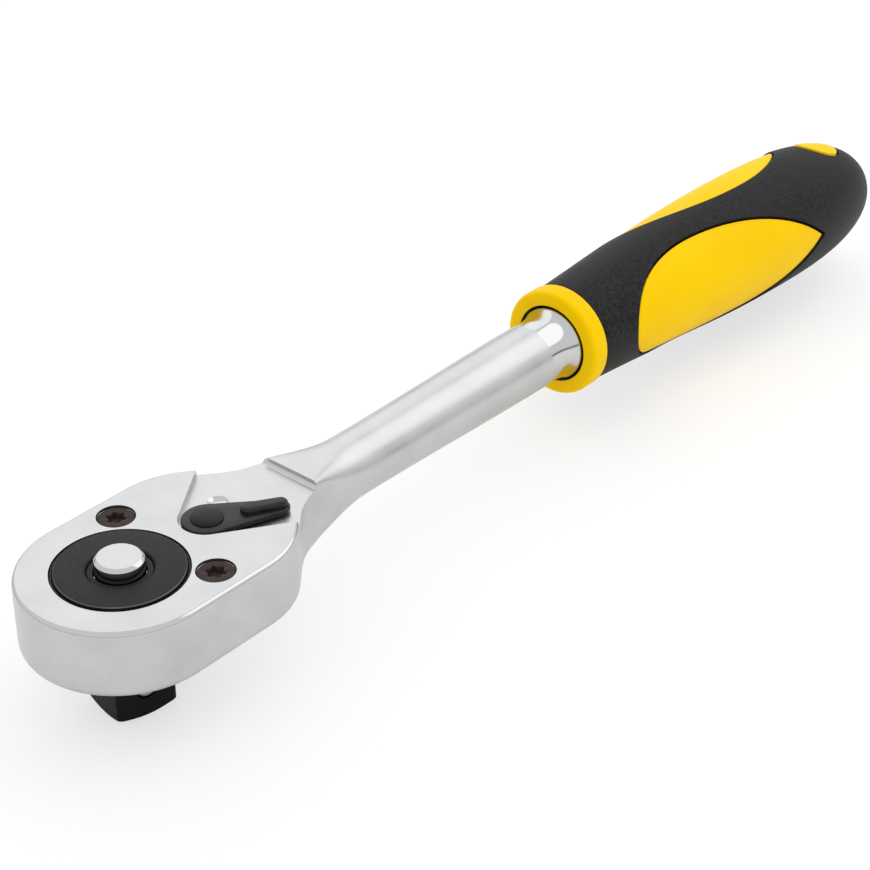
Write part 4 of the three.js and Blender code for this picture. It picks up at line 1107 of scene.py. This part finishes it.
class RATCHET_OT_lever(bpy.types.Operator):
    """Models the thumb lever and its riveted spindle"""

    bl_idname = "ratchet.lever"
    bl_label = "Lever"

    def execute(self, context):
        sizes = context.scene.ratchet_lever
        turn = Matrix.Translation((SPINDLE_X, 0, 0)) @ Matrix.Rotation(sizes.swing, 4, "Z")
        lever = self.lever(sizes)
        turn_piece(lever, turn)
        dress(lever, "lever", "black_enamel", "reversing_lever")
        spindle = self.spindle(sizes)
        turn_piece(spindle, turn)
        dress(spindle, "lever", "dark_steel", "lever_spindle")
        return {"FINISHED"}

    def lever(self, sizes):
        plate_edge = 0.35 * MM
        tab_inset = 0.4 * MM
        tab_edge = 0.7 * MM
        tip = sizes.reach - sizes.tip
        top = LEVER_BOTTOM + sizes.thickness
        piece = prism("thumb_lever", taper(0, sizes.boss, tip, sizes.tip), LEVER_BOTTOM, top)
        soften(piece, plate_edge, 4)
        tab_end = sizes.reach - tab_inset - sizes.tab_end_radius
        shape = taper(sizes.tab_start, sizes.tab_radius, tab_end, sizes.tab_end_radius)
        join(piece, soften(prism("tab", shape, LEVER_BOTTOM + tab_inset, TAB_TOP), tab_edge, 5))
        detent = 0.65 * MM
        detent_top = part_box("lever_detent_spring")[1].z + FIT
        detent_place = middle_of("lever_detent_ball")
        detent_x = math.hypot(detent_place.x - SPINDLE_X, detent_place.y)
        low = LEVER_BOTTOM - PAST
        cut(
            piece,
            cylinder("spindle_hole", sizes.spindle_neck + FIT, low, TAB_TOP + PAST),
            cylinder("detent_bore", detent, low, detent_top, detent_x),
        )
        return smooth(piece)

    def spindle(self, sizes):
        rivet = LEVER_BOTTOM + sizes.thickness + FIT
        ring_low, ring_high = heights("spindle_seal_ring")
        groove_low = ring_low - FIT
        groove_high = ring_high + FIT
        groove = 1.6 * MM
        head = 3.2 * MM
        turns = arc_turns(0, 90, 14)
        dome = [(head * math.cos(turn), mix(rivet, RIVET_TOP, math.sin(turn))) for turn in turns]
        dome[-1] = (0, RIVET_TOP)
        piece = spun(
            "riveted_spindle",
            [
                (0, GEAR_BOTTOM),
                (sizes.spindle, GEAR_BOTTOM),
                (sizes.spindle, GEAR_TOP),
                (sizes.spindle_neck, GEAR_TOP),
                (sizes.spindle_neck, groove_low),
                (groove, groove_low),
                (groove, groove_high),
                (sizes.spindle_neck, groove_high),
                (sizes.spindle_neck, rivet),
                *dome,
            ],
        )
        middle = (GEAR_BOTTOM + GEAR_TOP) / 2
        bore_radius = 1.65 * MM
        bore_end = 2.4 * MM
        bore = cylinder("spring_bore", bore_radius, -sizes.spindle - PAST, bore_end)
        turn_piece(bore, Matrix.Translation((0, 0, middle)) @ Matrix.Rotation(math.pi / 2, 4, "Y"))
        return smooth(cut(piece, bore))


# Handle

BUTT_POWER = 2.6  # how full the butt's outline is; 2 would be an ellipse
SWELL_POWER = 1.2  # how slowly the grip starts to swell
DROOP_POWER = 1.6  # how slowly it starts to hang


def grip_radius(sizes, x, inset=0.0):
    """Radius of the grip at a place along the handle, or of what lies inset under it."""
    front = sizes.front - inset
    swell = sizes.swell - inset
    swell_x = GRIP_END - sizes.butt
    if x <= swell_x:
        ratio = max(0.0, (x - SWELL_START) / (swell_x - SWELL_START))
        return front + (swell - front) * math.sin(ratio * math.pi / 2) ** SWELL_POWER
    ratio = min(1.0, (x - swell_x) / (sizes.butt - inset))
    return swell * (1 - ratio**BUTT_POWER) ** (1 / BUTT_POWER)


def grip_profile(sizes, start, inset=0.0):
    """The grip's profile from its front to the end of the butt, on the axis."""
    swell_x = GRIP_END - sizes.butt
    places = [mix(start, swell_x, i / 36) for i in range(36)]
    for turn in arc_turns(0, 90, 40):
        places.append(swell_x + math.sin(turn) ** (2 / BUTT_POWER) * (sizes.butt - inset))
    points = [(grip_radius(sizes, x, inset), x) for x in places]
    points[-1] = (0, points[-1][1])
    return points


def droop(sizes, x):
    """How far the grip's middle hangs below the shank's axis."""
    ratio = max(0.0, (x - SWELL_START) / (GRIP_END - SWELL_START))
    return sizes.droop * ratio**DROOP_POWER


def along_handle(name, sizes, profile):
    """A profile of (radius, place) pairs spun about the handle's hanging axis."""
    piece = spun(name, profile, GRIP_STEPS)
    turn_piece(piece, Matrix.Rotation(math.pi / 2, 4, "Y"))
    for vertex in piece.data.vertices:
        vertex.co.z += SHANK_AXIS - droop(sizes, vertex.co.x)
    return piece


def grip_solid(name, sizes, inset):
    """The whole grip, or what lies inset under its surface."""
    return along_handle(name, sizes, [(0, GRIP_START), *grip_profile(sizes, GRIP_START, inset)])


def leaf(name, sizes, turned_about, grow, high):
    """A leaf wrapped round the grip, from the core outwards: blunt at one end, pointed at the other."""
    blunt = sizes.leaf_blunt + grow
    point = sizes.leaf_taper + 2 * grow
    half = sizes.leaf_width + grow
    side = (point**2 + half**2) / (2 * half)
    depth = sizes.wall + LEAF_ROOT
    stations = 64
    spokes = 24
    rings = []
    for i in range(stations + 1):
        run = (blunt + point) * (1 - math.cos(math.pi * i / stations)) / 2
        past = run - blunt
        if past < 0:
            width = half * math.sqrt(max(0.0, 1 - (past / blunt) ** 2))
        else:
            width = math.sqrt(side**2 - past**2) - side + half
        offset = sizes.leaf_start - grow + run
        x = HANDLE_START + (2 * sizes.leaf_middle - offset if turned_about else offset)
        reach = max(width, 0.1 * MM) / grip_radius(sizes, x)
        middle = sizes.turn + (-1 if turned_about else 1) * sizes.leaf_spread
        axis = SHANK_AXIS - droop(sizes, x)
        turns = [middle + reach * (2 * s / spokes - 1) for s in range(spokes + 1)]
        outer = [(grip_radius(sizes, x) + high, turn) for turn in turns]
        inner = [(grip_radius(sizes, x) - depth, turn) for turn in reversed(turns)]
        ring = []
        for radius, turn in outer + inner:
            ring.append(Vector((x, radius * math.cos(turn), axis + radius * math.sin(turn))))
        rings.append(ring)
    return skin(name, rings)


def dot_peg(name, sizes, radius):
    """Round peg across the handle for the dot."""
    x = HANDLE_START + sizes.dot_place
    root = grip_radius(sizes, x, sizes.wall + LEAF_ROOT)
    peg = cylinder(name, radius, root, grip_radius(sizes, x) + PAST)
    place = Matrix.Translation((x, 0, SHANK_AXIS - droop(sizes, x)))
    return turn_piece(peg, place @ Matrix.Rotation(sizes.dot_turn - math.pi / 2, 4, "X"))


def dot(sizes):
    """The dot follows the grip's surface and stands a little out of it."""
    peg = dot_peg("dot", sizes, sizes.dot)
    boolean(peg, "INTERSECT", grip_solid("around", sizes, -sizes.dot_proud))
    return soften(peg, 0.3 * MM, 3)


class RATCHET_OT_handle(bpy.types.Operator):
    """Models the yellow core with its leaves, collar and dot, and the black sleeve over it"""

    bl_idname = "ratchet.handle"
    bl_label = "Handle"

    def execute(self, context):
        sizes = context.scene.ratchet_handle
        core = self.core(sizes)
        dress(core, "head", "yellow_plastic", "handle_core")
        self.paint_gap_shade(core, sizes)
        dress(self.sleeve(sizes), "head", "black_rubber", "grip_sleeve")
        return {"FINISHED"}

    def core(self, sizes):
        edge = sizes.collar_edge
        rear_edge = 0.3 * MM
        collar_end = GRIP_START - FIT
        piece = along_handle(
            "yellow_core",
            sizes,
            [
                (0, COLLAR_START),
                *rounding(sizes.collar - edge, COLLAR_START + edge, edge, -90, 0),
                *rounding(sizes.collar - rear_edge, collar_end - rear_edge, rear_edge, 0, 90),
                *grip_profile(sizes, collar_end, sizes.wall),
            ],
        )
        for turned_about in (False, True):
            name = "leaf_rear" if turned_about else "leaf_front"
            shell = grip_solid(name, sizes, sizes.leaf_sink)
            boolean(shell, "INTERSECT", leaf("outline", sizes, turned_about, 0, MM))
            soften(shell, 0.4 * MM, 3)
            join(piece, shell)
        join(piece, dot(sizes))
        rings = [whole_ring(tang_ring(x, TANG + FIT)) for x in (HANDLE_START, TANG_END + FIT)]
        cut(piece, self.mouth(sizes), skin("tang_hole", rings))
        return smooth(piece)

    def mouth(self, sizes):
        """Hole in the collar round the bolster."""
        hole = sizes.collar_hole
        edge = 0.5 * MM
        end = HANDLE_START + 1.8 * MM
        return along_handle(
            "mouth",
            sizes,
            [
                (0, COLLAR_START - PAST),
                (hole + edge, COLLAR_START - PAST),
                (hole + edge, COLLAR_START),
                *rounding(hole + edge, COLLAR_START + edge, edge, 270, 180),
                (hole, end),
                (0, end),
            ],
        )

    def paint_gap_shade(self, piece, sizes):
        """Paints shade into the gap round the bolster and the bottoms of the grooves round the leaves, in the seal
        rubber's near-black.
        """
        mouth_end = HANDLE_START + 2 * MM
        mouth_edge = sizes.collar_hole + 0.3 * MM
        near = 0.1 * MM

        def dark(face):
            place = face.center
            reach = math.hypot(place.y, place.z - SHANK_AXIS + droop(sizes, place.x))
            if place.x > GRIP_START:
                return reach < grip_radius(sizes, place.x, sizes.wall) + near
            return place.x < mouth_end and reach < mouth_edge

        # Painted shade: the near-black seal rubber on these faces stands for the shade in the gaps
        paint(piece, "seal_rubber", dark)

    def sleeve(self, sizes):
        inside = grip_profile(sizes, GRIP_START, sizes.wall - FIT)
        outside = grip_profile(sizes, GRIP_START)
        piece = along_handle("black_sleeve", sizes, [*reversed(inside), *outside])
        cut(
            piece,
            leaf("window", sizes, False, sizes.leaf_gap, PAST),
            leaf("window", sizes, True, sizes.leaf_gap, PAST),
            dot_peg("dot_hole", sizes, sizes.dot + sizes.leaf_gap),
        )
        return smooth(soften(piece, sizes.lip, 3))


class RATCHET_OT_inside(bpy.types.Operator):
    """Gives the packed solids their finish, which those inside the head keep"""

    bl_idname = "ratchet.inside"
    bl_label = "Inside pieces"

    def execute(self, context):
        slots = {part["node"]: part["material_slot"] for part in frame["record"]["subparts"]}
        for name, node in frame["nodes"].items():
            node.data.materials.clear()
            node.data.materials.append(finish_for(slots[name]))
        return {"FINISHED"}


# Stage

WHITE = (1.0, 1.0, 1.0, 1.0)
CAMERA_PLACE = (-0.20561, -0.25233, 0.25732)
CAMERA_AZIMUTH = math.radians(-49.279)
CAMERA_ELEVATION = math.radians(31.861)
CAMERA_LENS = 89.55
FLOOR_SIZE = 6.0
FLOOR_DROP = 0.5 * MM  # keeps the floor clear of the anvil's end
FLOOR_TONE = 0.93
FLOOR_LIFT = 0.06  # white that the camera and reflections see on the floor
FLOOR_VIEW = 0.55  # part of the floor's tone that the camera sees as plain white, without shadow
SKY = (0.12, 0.95)  # strength at the horizon and above it
SKY_EDGE = (0.03, 0.11)  # heights, as sines, between which it changes
# Place, target, size and power of each lamp
LAMPS = {
    "key": ((0.42, 0.52, 0.5), (0.03, 0, 0), 0.8, 0.75),
    "strip": ((0.6, -0.2, 0.55), (0.1, 0, 0.02), 0.7, 0.9),
}


class RATCHET_OT_stage(bpy.types.Operator):
    """Sets the camera, the pale floor and the soft light"""

    bl_idname = "ratchet.stage"
    bl_label = "Stage"

    def execute(self, context):
        self.camera(context)
        self.floor()
        self.world(context)
        for name, values in LAMPS.items():
            self.lamp(name, *values)
        context.scene.view_settings.view_transform = "Standard"
        return {"FINISHED"}

    def camera(self, context):
        data = bpy.data.cameras.new("camera")
        data.lens = CAMERA_LENS
        data.sensor_width = 36.0
        data.clip_start = 0.01
        camera = bpy.data.objects.new("camera", data)
        context.scene.collection.objects.link(camera)
        flat = math.cos(CAMERA_ELEVATION)
        back_x = math.sin(CAMERA_AZIMUTH) * flat
        back_y = -math.cos(CAMERA_AZIMUTH) * flat
        back = Vector((back_x, back_y, math.sin(CAMERA_ELEVATION)))
        camera.location = CAMERA_PLACE
        camera.rotation_euler = (-back).to_track_quat("-Z", "Y").to_euler()
        context.scene.camera = camera

    def floor(self):
        bpy.ops.object.select_all(action="DESELECT")
        bpy.ops.mesh.primitive_plane_add(size=FLOOR_SIZE, location=(0, 0, -FLOOR_DROP))
        floor = bpy.context.active_object
        floor.name = "floor"
        material, tree, principled = shader("Floor", Roughness=0.8, Emission_Color=WHITE)
        rays = tree.nodes.new("ShaderNodeLightPath").outputs
        seen = rays["Is Camera Ray"]
        tone = spread(tree, seen, FLOOR_TONE, FLOOR_TONE - FLOOR_VIEW, 0.0, 1.0)
        tree.links.new(tone, principled.inputs["Base Color"])
        glow = spread(tree, seen, 0.0, FLOOR_LIFT + FLOOR_VIEW, 0.0, 1.0)
        for name in ("Is Glossy Ray", "Is Transmission Ray"):
            glow = self.most(tree, glow, spread(tree, rays[name], 0.0, FLOOR_LIFT, 0.0, 1.0))
        tree.links.new(glow, principled.inputs["Emission Strength"])
        floor.data.materials.append(material)

    def most(self, tree, one, other):
        """The larger of two values."""
        node = tree.nodes.new("ShaderNodeMath")
        node.operation = "MAXIMUM"
        tree.links.new(one, node.inputs[0])
        tree.links.new(other, node.inputs[1])
        return node.outputs["Value"]

    def world(self, context):
        """A bright sky with a dark line at the horizon, which the camera itself sees as white."""
        world = bpy.data.worlds.new("studio")
        context.scene.world = world
        world.use_nodes = True
        tree = world.node_tree
        background = tree.nodes["Background"]
        background.inputs["Color"].default_value = WHITE
        coordinates = tree.nodes.new("ShaderNodeTexCoord")
        split = tree.nodes.new("ShaderNodeSeparateXYZ")
        tree.links.new(coordinates.outputs["Generated"], split.inputs["Vector"])
        strength = spread(tree, split.outputs["Z"], *SKY, *SKY_EDGE)
        path = tree.nodes.new("ShaderNodeLightPath")
        seen = self.most(tree, strength, path.outputs["Is Camera Ray"])
        tree.links.new(seen, background.inputs["Strength"])

    def lamp(self, name, place, target, size, power):
        data = bpy.data.lights.new(name, "AREA")
        data.shape = "DISK"
        data.size = size
        data.energy = power
        lamp = bpy.data.objects.new(name, data)
        bpy.context.scene.collection.objects.link(lamp)
        lamp.location = place
        aim = Vector(target) - Vector(place)
        lamp.rotation_euler = aim.to_track_quat("-Z", "Y").to_euler()


class RATCHET_PT_panel(bpy.types.Panel):
    """Sizes, finishes and pieces of the ratchet"""

    bl_label = "Socket ratchet"
    bl_idname = "RATCHET_PT_panel"
    bl_space_type = "VIEW_3D"
    bl_region_type = "UI"
    bl_category = "Ratchet"

    def draw(self, context):
        layout = self.layout
        for operator in OPERATORS:
            layout.operator(operator.bl_idname)
        for group, holder in GROUPS.items():
            box = layout.box()
            box.label(text=group.__doc__)
            for name in group.__annotations__:
                box.prop(getattr(context.scene, holder), name)


GROUPS = {
    HeadSizes: "ratchet_head",
    HandleSizes: "ratchet_handle",
    LeverSizes: "ratchet_lever",
    Finishes: "ratchet_finishes",
}
OPERATORS = (
    RATCHET_OT_inside,
    RATCHET_OT_forging,
    RATCHET_OT_cover,
    RATCHET_OT_drive,
    RATCHET_OT_button,
    RATCHET_OT_lever,
    RATCHET_OT_handle,
    RATCHET_OT_stage,
)


def register():
    for group, name in GROUPS.items():
        bpy.utils.register_class(group)
        setattr(bpy.types.Scene, name, bpy.props.PointerProperty(type=group))
    for operator in OPERATORS:
        bpy.utils.register_class(operator)
    bpy.utils.register_class(RATCHET_PT_panel)


def unregister():
    bpy.utils.unregister_class(RATCHET_PT_panel)
    for operator in reversed(OPERATORS):
        bpy.utils.unregister_class(operator)
    for group, name in GROUPS.items():
        delattr(bpy.types.Scene, name)
        bpy.utils.unregister_class(group)


def main():
    register()
    bpy.ops.ratchet.inside()
    bpy.ops.ratchet.forging()
    bpy.ops.ratchet.cover()
    bpy.ops.ratchet.drive()
    bpy.ops.ratchet.button()
    bpy.ops.ratchet.lever()
    bpy.ops.ratchet.handle()
    bpy.ops.ratchet.stage()


if __name__ == "__main__":
    main()
